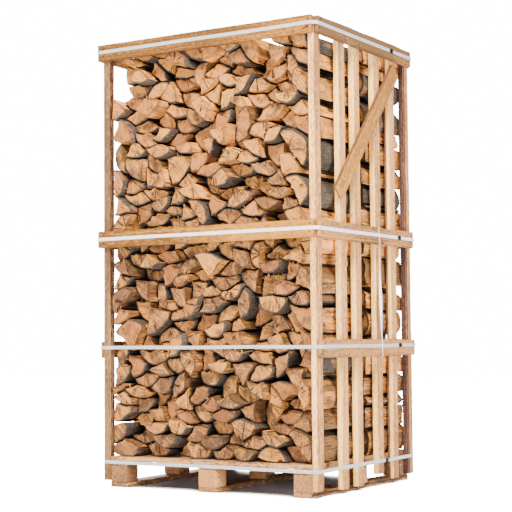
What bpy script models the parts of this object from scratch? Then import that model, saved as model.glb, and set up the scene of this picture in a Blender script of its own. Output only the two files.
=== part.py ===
"""A crate pallet filled with split firewood, in metres, +Z up.

The origin is on the ground at the middle of the footprint. The open front looks along -Y and the
slatted sides look along X. The crate is a nine-block pallet with four posts, eight side slats, ten
rails and a brace nailed round it, held by four plastic straps. Two rows of split logs lie in it
along Y, one behind the other, with their sawn ends at the front and at the back.
"""

import math

import bmesh
import bpy
import numpy as np
from mathutils import Vector

# Overall sizes
CRATE_WIDTH = 1.20
CRATE_DEPTH = 1.00
CRATE_HEIGHT = 2.11
GAP = 0.0003  # clearance between pieces that touch

# Rails and brace, nailed on the outside of the posts and slats
RAIL_THICK = 0.020
RAIL_HEIGHT = 0.080
MIDDLE_RAIL_TOP = 1.210
LOWER_RAIL_TOP = 0.686
BRACE_WIDTH = 0.088
BRACE_LENGTH = 0.884
BRACE_CENTRE = (0.0105, 1.664)  # Y, Z
BRACE_ANGLE = math.radians(47.4)
BOARD_EDGE = 0.0015

# Outer faces of the posts and slats
POST_X = CRATE_WIDTH / 2 - RAIL_THICK
POST_Y = CRATE_DEPTH / 2 - RAIL_THICK
POST_TOP = CRATE_HEIGHT - 0.004
SLAT_TOP = CRATE_HEIGHT - 0.012
RIGHT_THICK = 0.029  # posts and slats of the right side, along X
LEFT_THICK = 0.038
RIGHT_POST_DEEP = 0.056
LEFT_POST_DEEP = 0.036
POST_FOOT = 0.030
SLAT_DEEP = 0.057
SLAT_STARTS = (0.232, 0.376, 0.582, 0.741)  # behind the front face of the posts
SLAT_FEET = (0.017, 0.018, 0.056, 0.022)  # right side; the left slats end at the stringers

# Pallet, bottom to top: skids, blocks, stringers and deck
SKID_THICK = 0.022
BLOCK_HEIGHT = 0.078
STRINGER_THICK = 0.022
DECK_THICK = 0.022
BLOCK_WIDE = 0.095
BLOCK_DEEP = 0.088
PALLET_HALF_DEEP = POST_Y - 0.002
DECK_BOARDS = 6
DECK_BOARD_WIDE = 0.130
DECK_TOP = SKID_THICK + BLOCK_HEIGHT + STRINGER_THICK + DECK_THICK

# Straps
STRAP_WIDE = 0.016
STRAP_THICK = 0.0008
STRAP_HEIGHTS = {"bottom": 0.116, "lower": 0.655, "middle": 1.172, "top": 2.074}
SEAL_LONG = 0.032
SEAL_HIGH = 0.019
SEAL_THICK = 0.0022
SEAL_PLACES = {"bottom": 0.185, "lower": 0.306, "middle": 0.312, "top": 0.254}
TAIL_X = CRATE_WIDTH / 2 + 0.0022
TAIL_STATIONS = (  # Y, Z and width down the loose end of a band
    (0.091, 1.212, 0.007),
    (0.096, 1.160, 0.006),
    (0.101, 1.115, 0.004),
    (0.100, 1.030, 0.008),
    (0.099, 0.930, 0.013),
    (0.102, 0.840, 0.014),
    (0.107, 0.750, 0.012),
    (0.111, 0.690, 0.008),
    (0.114, 0.645, 0.007),
    (0.116, 0.603, 0.005),
)

# Firewood
WALL_ROOM = 0.004
PILE_LEFT = -POST_X + LEFT_THICK + WALL_ROOM
PILE_RIGHT = POST_X - RIGHT_THICK - WALL_ROOM
PILE_FLOOR = DECK_TOP + GAP
PILE_TOP = 2.09
ROW_SPLIT = 0.022  # Y of the joint between the two rows
ROW_GAP = 0.012
ROW_SEEDS = {"front": 529, "rear": 516}
END_DEPTH = (0.002, 0.140)  # how far the sawn ends lie behind the face of the pile
DEPTH_SPREAD = (1.2, 2.0)  # shares of shallow and of deep ends
NEAR_WALL = 0.02  # an end nearer than this to a side wall stands at only part of its depth
WALL_SHARE = 0.4
REAR_FACE = 0.470
DEPTH_STEP = 0.004
LOG_ROOM = 0.0016  # air left between logs that touch
SWELLS = (0.0045, 0.002)  # how far a log may be fuller than its first outline, in two steps
BARK_POINTS = 16
COLUMN = 0.0025  # width of the columns that the stack is measured in
SLOT_COLUMNS = 18  # a slot narrower than this takes no log
KIND_TRIES = 5
TURN_TRIES = 12
LAST_ROUNDS = 8  # rounds without a place for a log before the pile counts as full
CELL = 0.002
MOST_LOG = 0.25
NEIGHBOURS = 40
SAME_CORNER = 2e-6  # cell corners this near are one corner, worked out from each of its cells
SPLIT_BOW = 0.045  # bow and wave of a split face, as parts of its width
SPLIT_WAVE = 0.018
BARK_DOWN = 0.92  # share of the logs laid bark down, and how far they lean
LEAN = 0.36
KINDS = ("half", "third", "quarter", "sixth", "slab")
RADII = {
    "half": (0.061, 0.107),
    "third": (0.073, 0.117),
    "quarter": (0.084, 0.145),
    "sixth": (0.103, 0.157),
    "slab": (0.105, 0.162),
}
SPREADS = {
    "half": (160, 184),
    "third": (112, 145),
    "quarter": (78, 112),
    "sixth": (48, 72),
    "slab": (50, 85),
}
USUAL_SHARES = (0.26, 0.22, 0.36, 0.09, 0.07)
BOTTOM_SHARES = (0.60, 0.20, 0.20, 0.0, 0.0)

COLOURS = {
    "rail": (0.60, 0.37, 0.17),
    "post": (0.75, 0.56, 0.36),
    "pallet": (0.52, 0.33, 0.18),
    "brace": (0.52, 0.30, 0.13),
    "strap": (0.72, 0.72, 0.73),
    "seal": (0.08, 0.08, 0.09),
    "logs": (0.58, 0.35, 0.19),
}


def material(name, roughness=0.8, metallic=0.0):
    """The plain finish of one kind of piece."""
    found = bpy.data.materials.get(name)
    if found:
        return found
    made = bpy.data.materials.new(name)
    made.use_nodes = True
    shader = made.node_tree.nodes["Principled BSDF"]
    shader.inputs["Base Color"].default_value = (*COLOURS[name], 1.0)
    shader.inputs["Roughness"].default_value = roughness
    shader.inputs["Metallic"].default_value = metallic
    return made


def add(name, mesh, finish):
    """Puts a mesh in the object's collection under its piece's name."""
    obj = bpy.data.objects.new(name, mesh)
    mesh.materials.append(finish)
    PALLET.objects.link(obj)
    return obj


def board(name, low, high, finish, edge=BOARD_EDGE):
    """A sawn board between two corners, with its edges eased."""
    low, high = Vector(low), Vector(high)
    shape = bmesh.new()
    bmesh.ops.create_cube(shape, size=1.0)
    bmesh.ops.scale(shape, vec=high - low, verts=shape.verts)
    mesh = bpy.data.meshes.new(name)
    shape.to_mesh(mesh)
    shape.free()
    obj = add(name, mesh, finish)
    obj.location = (low + high) / 2
    if edge:
        eased = obj.modifiers.new("Eased edges", "BEVEL")
        eased.width = edge
        eased.segments = 1
    return obj


def pallet():
    """Skids, blocks and stringers along Y in three lines, and the deck across them."""
    left = -POST_X + LEFT_THICK + GAP
    right = POST_X - RIGHT_THICK - GAP
    lines = {
        "left": left + BLOCK_WIDE / 2,
        "middle": (left + right) / 2,
        "right": right - BLOCK_WIDE / 2,
    }
    places = {"front": -PALLET_HALF_DEEP + BLOCK_DEEP / 2, "centre": 0.0}
    places["rear"] = -places["front"]
    block_low = SKID_THICK + GAP
    stringer_low = SKID_THICK + BLOCK_HEIGHT + GAP
    deck_low = stringer_low + STRINGER_THICK
    for line, x in lines.items():
        x0, x1 = x - BLOCK_WIDE / 2, x + BLOCK_WIDE / 2
        y0, y1 = -PALLET_HALF_DEEP, PALLET_HALF_DEEP
        board(f"skid_{line}", (x0, y0, 0), (x1, y1, SKID_THICK), material("pallet"))
        for place, y in places.items():
            board(
                f"block_{line}_{place}",
                (x0, y - BLOCK_DEEP / 2, block_low),
                (x1, y + BLOCK_DEEP / 2, stringer_low - GAP),
                material("pallet"),
            )
        board(
            f"stringer_{line}",
            (x0, y0, stringer_low),
            (x1, y1, deck_low - GAP),
            material("pallet"),
            edge=0,
        )
    pitch = (2 * PALLET_HALF_DEEP - DECK_BOARD_WIDE) / (DECK_BOARDS - 1)
    for i in range(DECK_BOARDS):
        y = -PALLET_HALF_DEEP + i * pitch
        board(
            f"deck_board_{i + 1}",
            (left, y, deck_low),
            (right, y + DECK_BOARD_WIDE, DECK_TOP),
            material("pallet"),
            edge=0,
        )


def posts_and_slats():
    """Four corner posts, and four slats on each side between them."""
    sides = {"left": (-1, LEFT_THICK, LEFT_POST_DEEP), "right": (1, RIGHT_THICK, RIGHT_POST_DEEP)}
    for side, (sign, thick, deep) in sides.items():
        x0, x1 = sorted((sign * POST_X, sign * (POST_X - thick)))
        ends = {"front": (-POST_Y, -POST_Y + deep), "rear": (POST_Y - deep, POST_Y)}
        for end, (y0, y1) in ends.items():
            board(f"post_{side}_{end}", (x0, y0, POST_FOOT), (x1, y1, POST_TOP), material("post"))
        for i, (start, foot) in enumerate(zip(SLAT_STARTS, SLAT_FEET)):
            y0 = -POST_Y + start
            low = foot if side == "right" else SKID_THICK + BLOCK_HEIGHT
            board(
                f"slat_{side}_{i + 1}",
                (x0, y0, low),
                (x1, y0 + SLAT_DEEP, SLAT_TOP),
                material("post"),
            )


def rails():
    """The rails of all four faces. The front and rear ones cover the left rails' ends and stop at
    the right posts' outer face, where the right rails stop at the posts' front and rear faces."""
    tops = {"top": CRATE_HEIGHT, "middle": MIDDLE_RAIL_TOP, "lower": LOWER_RAIL_TOP}
    long_x = (-CRATE_WIDTH / 2, POST_X)
    for level, z in tops.items():
        side_long = POST_Y - GAP
        for side, sign in (("left", -1), ("right", 1)):
            x0, x1 = sorted((sign * (POST_X + GAP), sign * CRATE_WIDTH / 2))
            low, high = (x0, -side_long, z - RAIL_HEIGHT), (x1, side_long, z)
            board(f"rail_{level}_{side}", low, high, material("rail"))
        if level == "lower":
            continue
        for end, sign in (("front", -1), ("rear", 1)):
            y0, y1 = sorted((sign * (POST_Y + GAP), sign * CRATE_DEPTH / 2))
            low, high = (long_x[0], y0, z - RAIL_HEIGHT), (long_x[1], y1, z)
            board(f"rail_{level}_{end}", low, high, material("rail"))


def brace():
    """The slanting board on the right side, from the first slat up to the top rail."""
    thick = RAIL_THICK - GAP
    obj = board(
        "brace_right",
        (-thick / 2, -BRACE_LENGTH / 2, -BRACE_WIDTH / 2),
        (thick / 2, BRACE_LENGTH / 2, BRACE_WIDTH / 2),
        material("brace"),
    )
    obj.rotation_euler = (BRACE_ANGLE, 0, 0)
    obj.location = (POST_X + GAP + thick / 2, *BRACE_CENTRE)


def strap_path(level):
    """Corners of a strap's inner face, seen from above, anticlockwise from the front left."""
    x0, x1 = CRATE_WIDTH / 2 + GAP, POST_X + GAP
    y0, y1 = CRATE_DEPTH / 2 + GAP, POST_Y + GAP
    if level == "bottom":
        return [(-x1, -y1), (x1, -y1), (x1, y1), (-x1, y1)]
    if level == "lower":
        return [(-x0, -y1), (x0, -y1), (x0, y1), (-x0, y1)]
    return [(-x0, -y0), (x1, -y0), (x0, -y1), (x0, y1), (x1, y0), (-x0, y0)]


def band(name, outline, z, finish):
    """A flat band standing on edge round a closed outline, its thickness outside it."""
    mesh = bpy.data.meshes.new(name)
    shape = bmesh.new()
    low = [shape.verts.new((x, y, z - STRAP_WIDE / 2)) for x, y in outline]
    edges = [shape.edges.new((a, b)) for a, b in zip(low, low[1:] + low[:1])]
    raised = bmesh.ops.extrude_edge_only(shape, edges=edges)["geom"]
    top = [v for v in raised if isinstance(v, bmesh.types.BMVert)]
    bmesh.ops.translate(shape, vec=(0, 0, STRAP_WIDE), verts=top)
    shape.normal_update()
    if shape.faces[:][0].normal.dot(shape.faces[:][0].calc_center_median()) < 0:
        bmesh.ops.reverse_faces(shape, faces=shape.faces)
    shape.to_mesh(mesh)
    shape.free()
    obj = add(name, mesh, finish)
    walled = obj.modifiers.new("Thickness", "SOLIDIFY")
    walled.thickness = STRAP_THICK
    walled.offset = 1.0
    walled.use_even_offset = True


def straps():
    """Four bands round the crate, each closed by a crimped seal on the right side."""
    for level, z in STRAP_HEIGHTS.items():
        band(f"strap_{level}", strap_path(level), z, material("strap", 0.4))
        face = POST_X if level == "bottom" else CRATE_WIDTH / 2
        x0 = face + 2 * GAP + STRAP_THICK
        y = SEAL_PLACES[level]
        board(
            f"seal_{level}",
            (x0, y - SEAL_LONG / 2, z - SEAL_HIGH / 2),
            (x0 + SEAL_THICK, y + SEAL_LONG / 2, z + SEAL_HIGH / 2),
            material("seal", 0.5),
            edge=0.0005,
        )


def tail():
    """The loose end of a band, over the middle rail and down the right side to the lower rail."""
    mesh = bpy.data.meshes.new("strap_tail")
    shape = bmesh.new()
    ladder = [
        [shape.verts.new((TAIL_X, y + side * wide / 2, z)) for side in (-1, 1)]
        for y, z, wide in TAIL_STATIONS
    ]
    for upper, under in zip(ladder, ladder[1:]):
        shape.faces.new((upper[0], under[0], under[1], upper[1]))
    shape.to_mesh(mesh)
    shape.free()
    obj = add("strap_tail", mesh, material("strap", 0.4))
    walled = obj.modifiers.new("Thickness", "SOLIDIFY")
    walled.thickness = STRAP_THICK
    walled.offset = 0.0


def section(rng, kind):
    """Outline of a split log, anticlockwise round its centre, and its area.

    A round is split through its heart into a part of its circle. The bark arc takes the first
    points, the split faces the others, out to the heart and back. A slab has lost its inner
    corner, so a fourth side closes it.
    """
    radius = rng.uniform(*RADII[kind])
    spread = np.radians(rng.uniform(*SPREADS[kind]))
    angle = np.linspace(-spread / 2, spread / 2, BARK_POINTS)
    swell = 1 + 0.03 * np.sin(2 * angle + rng.uniform(0, 2 * np.pi))
    swell += 0.018 * np.sin(5 * angle + rng.uniform(0, 2 * np.pi))
    arc = radius * swell[:, None] * np.stack([np.cos(angle), np.sin(angle)], 1)
    arc[:, 0] *= rng.uniform(0.82, 1.0)
    heart = rng.normal(0, 0.06 * radius, (2, 2))
    if kind == "slab":
        cos, sin = np.cos(spread / 2), np.sin(spread / 2)
        heart += rng.uniform(0.35, 0.6) * radius * np.array([[cos, sin], [cos, -sin]])
        corners, steps = [arc[-1], heart[0], heart[1], arc[0]], (7, 6, 8)
    else:
        corners, steps = [arc[-1], heart[0], arc[0]], (10, 11)
    sides = []
    for start, end, count in zip(corners, corners[1:], steps):
        share = np.linspace(0, 1, count + 1)[1:, None]
        bow = rng.normal(0, SPLIT_BOW) * np.sin(np.pi * share)
        bow += rng.normal(0, SPLIT_WAVE) * np.sin(3 * np.pi * share)
        run = end - start
        sides.append(start + run * share + bow * np.array([run[1], -run[0]]))
    outline = np.concatenate([arc, *sides])[:-1]
    following = np.roll(outline, -1, 0)
    cross = outline[:, 0] * following[:, 1] - following[:, 0] * outline[:, 1]
    centre = ((outline + following) * cross[:, None]).sum(0) / (3 * cross.sum())
    return outline - centre, cross.sum() / 2


def profile(outline):
    """First column that an outline covers, and its lowest and highest Z in each column."""
    first = int(np.floor(outline[:, 0].min() / COLUMN))
    last = int(np.ceil(outline[:, 0].max() / COLUMN))
    x = (np.arange(first, last) + 0.5) * COLUMN
    start, end = outline, np.roll(outline, -1, 0)
    run = end[:, :1] - start[:, :1]
    run = np.where(np.abs(run) < 1e-9, 1e-9, run)
    along = (x - start[:, :1]) / run
    reaches = np.abs(along - 0.5) <= 0.5 + np.minimum(COLUMN / 2 / np.abs(run), 0.6)
    z = start[:, 1:] + np.clip(along, 0, 1) * (end[:, 1:] - start[:, 1:])
    return first, np.where(reaches, z, np.inf).min(0), np.where(reaches, z, -np.inf).max(0)


def slots(surface, rest, count):
    """Width of the slots too narrow for a log that a piece at each place leaves at its sides."""
    places = len(rest)
    padded = np.pad(surface, SLOT_COLUMNS, constant_values=np.inf)
    left = np.zeros(places)
    right = np.zeros(places)
    for step in range(SLOT_COLUMNS, 0, -1):
        beside = padded[SLOT_COLUMNS - step : SLOT_COLUMNS - step + places]
        left[beside >= rest] = step - 1
        start = SLOT_COLUMNS + count - 1 + step
        right[padded[start : start + places] >= rest] = step - 1
    return (left + right) * COLUMN


def stack(rng, left, right, floor, ceiling):
    """Piles log outlines between two walls, the way a stacker does: at each step some logs are
    turned and tried all along the pile, and the one that leaves least air round it is laid."""
    surface = np.full(int(round((right - left) / COLUMN)), floor)
    kinds, outlines = [], []
    failed = 0
    while failed < LAST_ROUNDS:
        level = np.sort(surface)[: len(surface) // 8].mean()
        shares = BOTTOM_SHARES if level < floor + 0.04 else USUAL_SHARES
        best = None
        for attempt in range(KIND_TRIES * TURN_TRIES):
            if attempt % TURN_TRIES == 0:
                kind = str(rng.choice(KINDS, p=shares))
            outline, area = section(rng, kind)
            bark_down = rng.normal(-np.pi / 2, LEAN)
            turn = bark_down if rng.random() < BARK_DOWN else rng.uniform(0, 2 * np.pi)
            cos, sin = np.cos(turn), np.sin(turn)
            outline = outline @ np.array([[cos, sin], [-sin, cos]])
            first, low, high = profile(outline)
            windows = np.lib.stride_tricks.sliding_window_view(surface, len(low))
            rest = (windows - low).max(1)
            air = (rest[:, None] + low - windows).sum(1) * COLUMN
            air += 0.7 * slots(surface, rest, len(low)) * (high.max() - low.min())
            score = air / area + 5 * (rest + low.min() - level) + 6 * (rest + high.max() - level)
            score[rest + high.max() > ceiling] = np.inf
            column = int(score.argmin())
            if best is None or score[column] < best[0]:
                best = score[column], column, rest[column], kind, outline, first, high
        score, column, rest, kind, outline, first, high = best
        if not np.isfinite(score):
            failed += 1
            continue
        kinds.append(kind)
        outlines.append(outline + [left + (column - first) * COLUMN, rest])
        surface[column : column + len(high)] = rest + high + LOG_ROOM
    return kinds, outlines


def room_round(outlines, left, right, floor, ceiling):
    """The outlines' points and outward normals, and how far each point is from the next log."""
    wide, tall = int((right - left) / CELL), int((ceiling - floor) / CELL)
    owner = np.zeros((tall, wide), int)
    columns, rows = np.meshgrid(np.arange(wide) + 0.5, np.arange(tall) + 0.5)
    x, z = left + columns * CELL, floor + rows * CELL
    for number, outline in enumerate(outlines):
        low, high = outline.min(0), outline.max(0)
        near = np.s_[
            max(int((low[1] - floor) / CELL), 0) : int((high[1] - floor) / CELL) + 2,
            max(int((low[0] - left) / CELL), 0) : int((high[0] - left) / CELL) + 2,
        ]
        start, end = outline, np.roll(outline, -1, 0)
        above = (start[:, 1] > z[near][..., None]) != (end[:, 1] > z[near][..., None])
        rise = np.where(end[:, 1] == start[:, 1], 1e-12, end[:, 1] - start[:, 1])
        slope = (end[:, 0] - start[:, 0]) / rise
        crossing = start[:, 0] + (z[near][..., None] - start[:, 1]) * slope
        inside = (above & (x[near][..., None] < crossing)).sum(-1) % 2 == 1
        owner[near][inside] = number + 1
    points = np.stack(outlines)
    tangent = np.roll(points, -1, 1) - np.roll(points, 1, 1)
    normal = np.stack([tangent[..., 1], -tangent[..., 0]], -1)
    normal /= np.linalg.norm(normal, axis=-1, keepdims=True)
    steps = np.arange(0.001, 0.024, 0.001)
    probe = points[:, :, None] + normal[:, :, None] * steps[:, None]
    column = ((probe[..., 0] - left) / CELL).astype(int)
    row = ((probe[..., 1] - floor) / CELL).astype(int)
    outside = (column < 0) | (column >= wide) | (row < 0)
    found = owner[np.clip(row, 0, tall - 1), np.clip(column, 0, wide - 1)]
    own = np.arange(len(points))[:, None, None] + 1
    met = outside | ((found != 0) & (found != own))
    return points, normal, np.where(met.any(2), steps[met.argmax(2)], 0.0)


def settled(outlines, left, right, floor, ceiling):
    """The same logs with their sides swelled half way into the small gaps between them."""
    for most in SWELLS:
        points, normal, free = room_round(outlines, left, right, floor, ceiling)
        swell = np.clip((free - LOG_ROOM) / 2, 0, most)
        swell = (np.roll(swell, 1, 1) + 2 * swell + np.roll(swell, -1, 1)) / 4
        outlines = points + normal * swell[..., None]
    return outlines


def outline_areas(outlines):
    """Area of each outline, by the shoelace formula."""
    following = np.roll(outlines, -1, 1)
    cross = outlines[..., 0] * following[..., 1] - following[..., 0] * outlines[..., 1]
    return cross.sum(1) / 2


def mirrored_sites(outlines, centres, floor):
    """Centres mirrored in the pile's outer surface, which close the cells of the outer logs.

    A log is an outer one on a side where nothing lies beyond it at its own height or, for the
    top, above its middle.
    """
    low, high = outlines.min(1), outlines.max(1)
    mirrored = []
    for i, (x, z) in enumerate(centres):
        level = (low[:, 1] < z) & (high[:, 1] > z)
        over = (low[:, 0] < x) & (high[:, 0] > x)
        level[i] = over[i] = False
        if not (level & (centres[:, 0] < x)).any():
            mirrored.append((2 * low[i, 0] - x, z, i))
        if not (level & (centres[:, 0] > x)).any():
            mirrored.append((2 * high[i, 0] - x, z, i))
        if not (over & (centres[:, 1] > z)).any():
            mirrored.append((x, 2 * high[i, 1] - z, i))
        if not (over & (centres[:, 1] < z)).any():
            mirrored.append((x, 2 * floor - z, i))
    return mirrored


def clipped(polygon, labels, normal, offset, label):
    """The part of a convex polygon where normal . p <= offset, with the new side's label. A
    side's label is kept beside the corner that it starts from."""
    distance = polygon @ normal - offset
    if (distance <= 0).all():
        return polygon, labels
    corners, kept = [], []
    for i, (here, there) in enumerate(zip(distance, np.roll(distance, -1))):
        crossing = polygon[i] + (polygon[(i + 1) % len(polygon)] - polygon[i]) * (
            here / (here - there) if here != there else 0.0
        )
        if here <= 0:
            corners.append(polygon[i])
            kept.append(labels[i])
            if there > 0:
                corners.append(crossing)
                kept.append(label)
        elif there <= 0:
            corners.append(crossing)
            kept.append(labels[i])
    return np.array(corners).reshape(-1, 2), kept


def cells(outlines, left, right, floor, ceiling):
    """Shares the pile's face out among the logs: each cell is the points nearer, by power
    distance, to its own log's centre. Returns corner places, and each cell's corner numbers and
    the log beyond each of its sides, or -1 at the pile's outer surface."""
    bounds = (
        (np.array([0.0, -1.0]), -floor),
        (np.array([0.0, 1.0]), ceiling),
        (np.array([-1.0, 0.0]), -left),
        (np.array([1.0, 0.0]), right),
    )
    centres = outlines.mean(1)
    weights = outline_areas(outlines) / np.pi
    mirrored = mirrored_sites(outlines, centres, floor)
    sites = np.concatenate([centres, [(x, z) for x, z, _ in mirrored]])
    powers = np.concatenate([weights, [weights[i] for *_, i in mirrored]])
    found = []
    for i, centre in enumerate(centres):
        polygon = centre + np.array([(-1, -1), (1, -1), (1, 1), (-1, 1)]) * MOST_LOG
        labels = [-1] * 4
        nearest = np.argsort(((sites - centre) ** 2).sum(1))[1:NEIGHBOURS]
        for normal, offset in bounds:
            polygon, labels = clipped(polygon, labels, normal, offset, -1)
        for j in nearest:
            normal = 2 * (sites[j] - centre)
            offset = (sites[j] ** 2).sum() - (centre**2).sum() - powers[j] + powers[i]
            beyond = int(j) if j < len(centres) else -1
            polygon, labels = clipped(polygon, labels, normal, offset, beyond)
        found.append((polygon, labels))
    places = np.concatenate([polygon for polygon, _ in found])
    near = ((places[:, None] - places[None]) ** 2).sum(-1) < SAME_CORNER**2
    number = near.argmax(1)
    merged, sides = [], []
    start = 0
    for polygon, labels in found:
        numbers = number[start : start + len(polygon)]
        start += len(polygon)
        keep = numbers != np.roll(numbers, -1)
        merged.append(numbers[keep])
        sides.append([label for label, kept in zip(labels, keep) if kept])
    return places, merged, sides


def wall(shape, first, second):
    """Fills the strip between two chains of vertices with triangles, corner by corner."""
    i = j = 0
    while i + j < len(first) + len(second) - 2:
        step_first = j == len(second) - 1 or (
            i < len(first) - 1 and abs(first[i + 1].co.y) >= abs(second[j + 1].co.y)
        )
        if step_first:
            shape.faces.new((first[i], first[i + 1], second[j]))
            i += 1
        else:
            shape.faces.new((first[i], second[j + 1], second[j]))
            j += 1


def firewood(row):
    """One row of split logs as a solid: every log end stands at its own depth in the face of
    the pile, and the outer logs' sides show along their whole length."""
    rng = np.random.default_rng(ROW_SEEDS[row])
    _, outlines = stack(rng, PILE_LEFT, PILE_RIGHT, PILE_FLOOR, PILE_TOP)
    outlines = settled(outlines, PILE_LEFT, PILE_RIGHT, PILE_FLOOR, PILE_TOP)
    outward = -1 if row == "front" else 1
    face = -POST_Y if row == "front" else REAR_FACE
    joint = ROW_SPLIT + outward * ROW_GAP / 2
    spread = END_DEPTH[1] - END_DEPTH[0]
    depths = END_DEPTH[0] + spread * rng.beta(*DEPTH_SPREAD, len(outlines))
    low, high = outlines[..., 0].min(1), outlines[..., 0].max(1)
    depths[(low < PILE_LEFT + NEAR_WALL) | (high > PILE_RIGHT - NEAR_WALL)] *= WALL_SHARE
    steps = np.round(depths / DEPTH_STEP).astype(int)
    places, corners, sides = cells(outlines, PILE_LEFT, PILE_RIGHT, PILE_FLOOR, PILE_TOP)
    shape = bmesh.new()
    at_depth = {}

    def corner(number, step):
        """The vertex at a cell corner and a depth step, where None is the rows' joint."""
        if (number, step) not in at_depth:
            y = joint if step is None else face - outward * step * DEPTH_STEP
            x, z = places[number]
            at_depth[number, step] = shape.verts.new((x, y, z))
        return at_depth[number, step]

    reached = {}
    for numbers, step in zip(corners, steps):
        for number in numbers:
            reached.setdefault(int(number), set()).add(int(step))

    def chain(number, shallow, deep):
        """The vertices down one cell corner from a shallow step to a deep one, or the joint."""
        between = sorted(s for s in reached[number] if s > shallow and (deep is None or s < deep))
        return [corner(number, step) for step in (shallow, *between, deep)]

    outer = {}
    for i, (numbers, labels) in enumerate(zip(corners, sides)):
        numbers = [int(number) for number in numbers]
        shape.faces.new([corner(number, int(steps[i])) for number in numbers])
        for start, end, beyond in zip(numbers, numbers[1:] + numbers[:1], labels):
            if beyond < 0:
                outer[start] = end
                wall(shape, chain(start, int(steps[i]), None), chain(end, int(steps[i]), None))
            elif steps[beyond] > steps[i]:
                deep = int(steps[beyond])
                wall(shape, chain(start, int(steps[i]), deep), chain(end, int(steps[i]), deep))
    loop = [next(iter(outer))]
    while outer[loop[-1]] != loop[0]:
        loop.append(outer[loop[-1]])
    shape.faces.new([corner(number, None) for number in loop])
    bmesh.ops.recalc_face_normals(shape, faces=shape.faces)
    mesh = bpy.data.meshes.new(f"logs_{row}")
    shape.to_mesh(mesh)
    shape.free()
    add(f"logs_{row}", mesh, material("logs", 0.85))


PALLET = bpy.data.collections.new("pallet_of_firewood")


def main():
    for obj in list(bpy.data.objects):
        bpy.data.objects.remove(obj, do_unlink=True)
    bpy.context.scene.collection.children.link(PALLET)
    pallet()
    posts_and_slats()
    rails()
    brace()
    straps()
    tail()
    firewood("front")
    firewood("rear")


main()
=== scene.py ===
"""Looks of a pallet of split firewood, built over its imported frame.

Every log of the two rows is its own split piece with bark, two split faces and sawn ends. The
boards of the crate and pallet are rough-sawn, with worn edges and grain along their own length.
Straps, seals and nails lie on them. All sizes are metres, in the frame of the CAD model.
"""

from __future__ import annotations

import logging
import math
from abc import ABC, abstractmethod
from collections.abc import Callable
from dataclasses import dataclass, field
from enum import Enum
from functools import partial

import bpy
import numpy as np
from mathutils import Matrix, Vector

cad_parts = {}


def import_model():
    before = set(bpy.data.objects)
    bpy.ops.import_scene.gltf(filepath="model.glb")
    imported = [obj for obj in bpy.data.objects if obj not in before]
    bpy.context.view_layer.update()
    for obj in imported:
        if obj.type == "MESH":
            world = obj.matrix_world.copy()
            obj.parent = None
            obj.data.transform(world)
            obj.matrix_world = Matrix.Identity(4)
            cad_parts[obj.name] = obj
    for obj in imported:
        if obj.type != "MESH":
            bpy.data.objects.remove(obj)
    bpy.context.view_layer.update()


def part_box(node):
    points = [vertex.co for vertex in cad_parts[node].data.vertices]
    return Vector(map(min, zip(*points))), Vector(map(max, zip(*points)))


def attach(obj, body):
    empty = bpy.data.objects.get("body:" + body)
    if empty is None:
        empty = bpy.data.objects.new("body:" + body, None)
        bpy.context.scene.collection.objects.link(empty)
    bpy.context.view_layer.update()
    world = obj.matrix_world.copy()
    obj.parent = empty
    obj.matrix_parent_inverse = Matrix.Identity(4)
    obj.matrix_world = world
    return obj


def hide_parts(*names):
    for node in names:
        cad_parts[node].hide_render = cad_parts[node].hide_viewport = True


LOG = logging.getLogger("pallet_of_firewood")
TURN = 2 * math.pi
Add = Callable[..., bpy.types.NodeSocket]
Mesh = tuple[np.ndarray, np.ndarray, np.ndarray]  # corner places, quads, triangles


# ---------------------------------------------------------------- helpers


def linear(colour: str) -> tuple[float, float, float, float]:
    """Turns an sRGB hex colour to the linear values that a shader takes.

    Args:
        colour: Colour such as "#D9A67C".

    Returns:
        Red, green, blue and an alpha of one.
    """
    parts = [int(colour[i : i + 2], 16) / 255 for i in (1, 3, 5)]
    return *(c / 12.92 if c <= 0.04045 else ((c + 0.055) / 1.055) ** 2.4 for c in parts), 1.0


def fill(node: bpy.types.Node, inputs: dict) -> None:
    """Fills a node's inputs, given by name or number, with a linked output or a plain value."""
    for socket, source in inputs.items():
        if isinstance(source, bpy.types.NodeSocket):
            node.id_data.links.new(source, node.inputs[socket])
        else:
            node.inputs[socket].default_value = source


def add_node(
    tree: bpy.types.NodeTree,
    kind: str,
    inputs: dict | None = None,
    out: str = "",
    **settings: object,
) -> bpy.types.NodeSocket:
    """Adds a shader node with its settings and links.

    Args:
        tree: Node tree that gets the node.
        kind: Blender's name of the node type, less its "ShaderNode".
        inputs: Socket name or number to the output linked to it, or to its plain value.
        out: Name of the output that is wanted, if it isn't the first one in use.
        settings: Properties of the node itself.

    Returns:
        The output.
    """
    node = tree.nodes.new("ShaderNode" + kind)
    for name, value in settings.items():
        setattr(node, name, value)
    fill(node, inputs or {})
    return node.outputs[out] if out else next(output for output in node.outputs if output.enabled)


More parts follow.
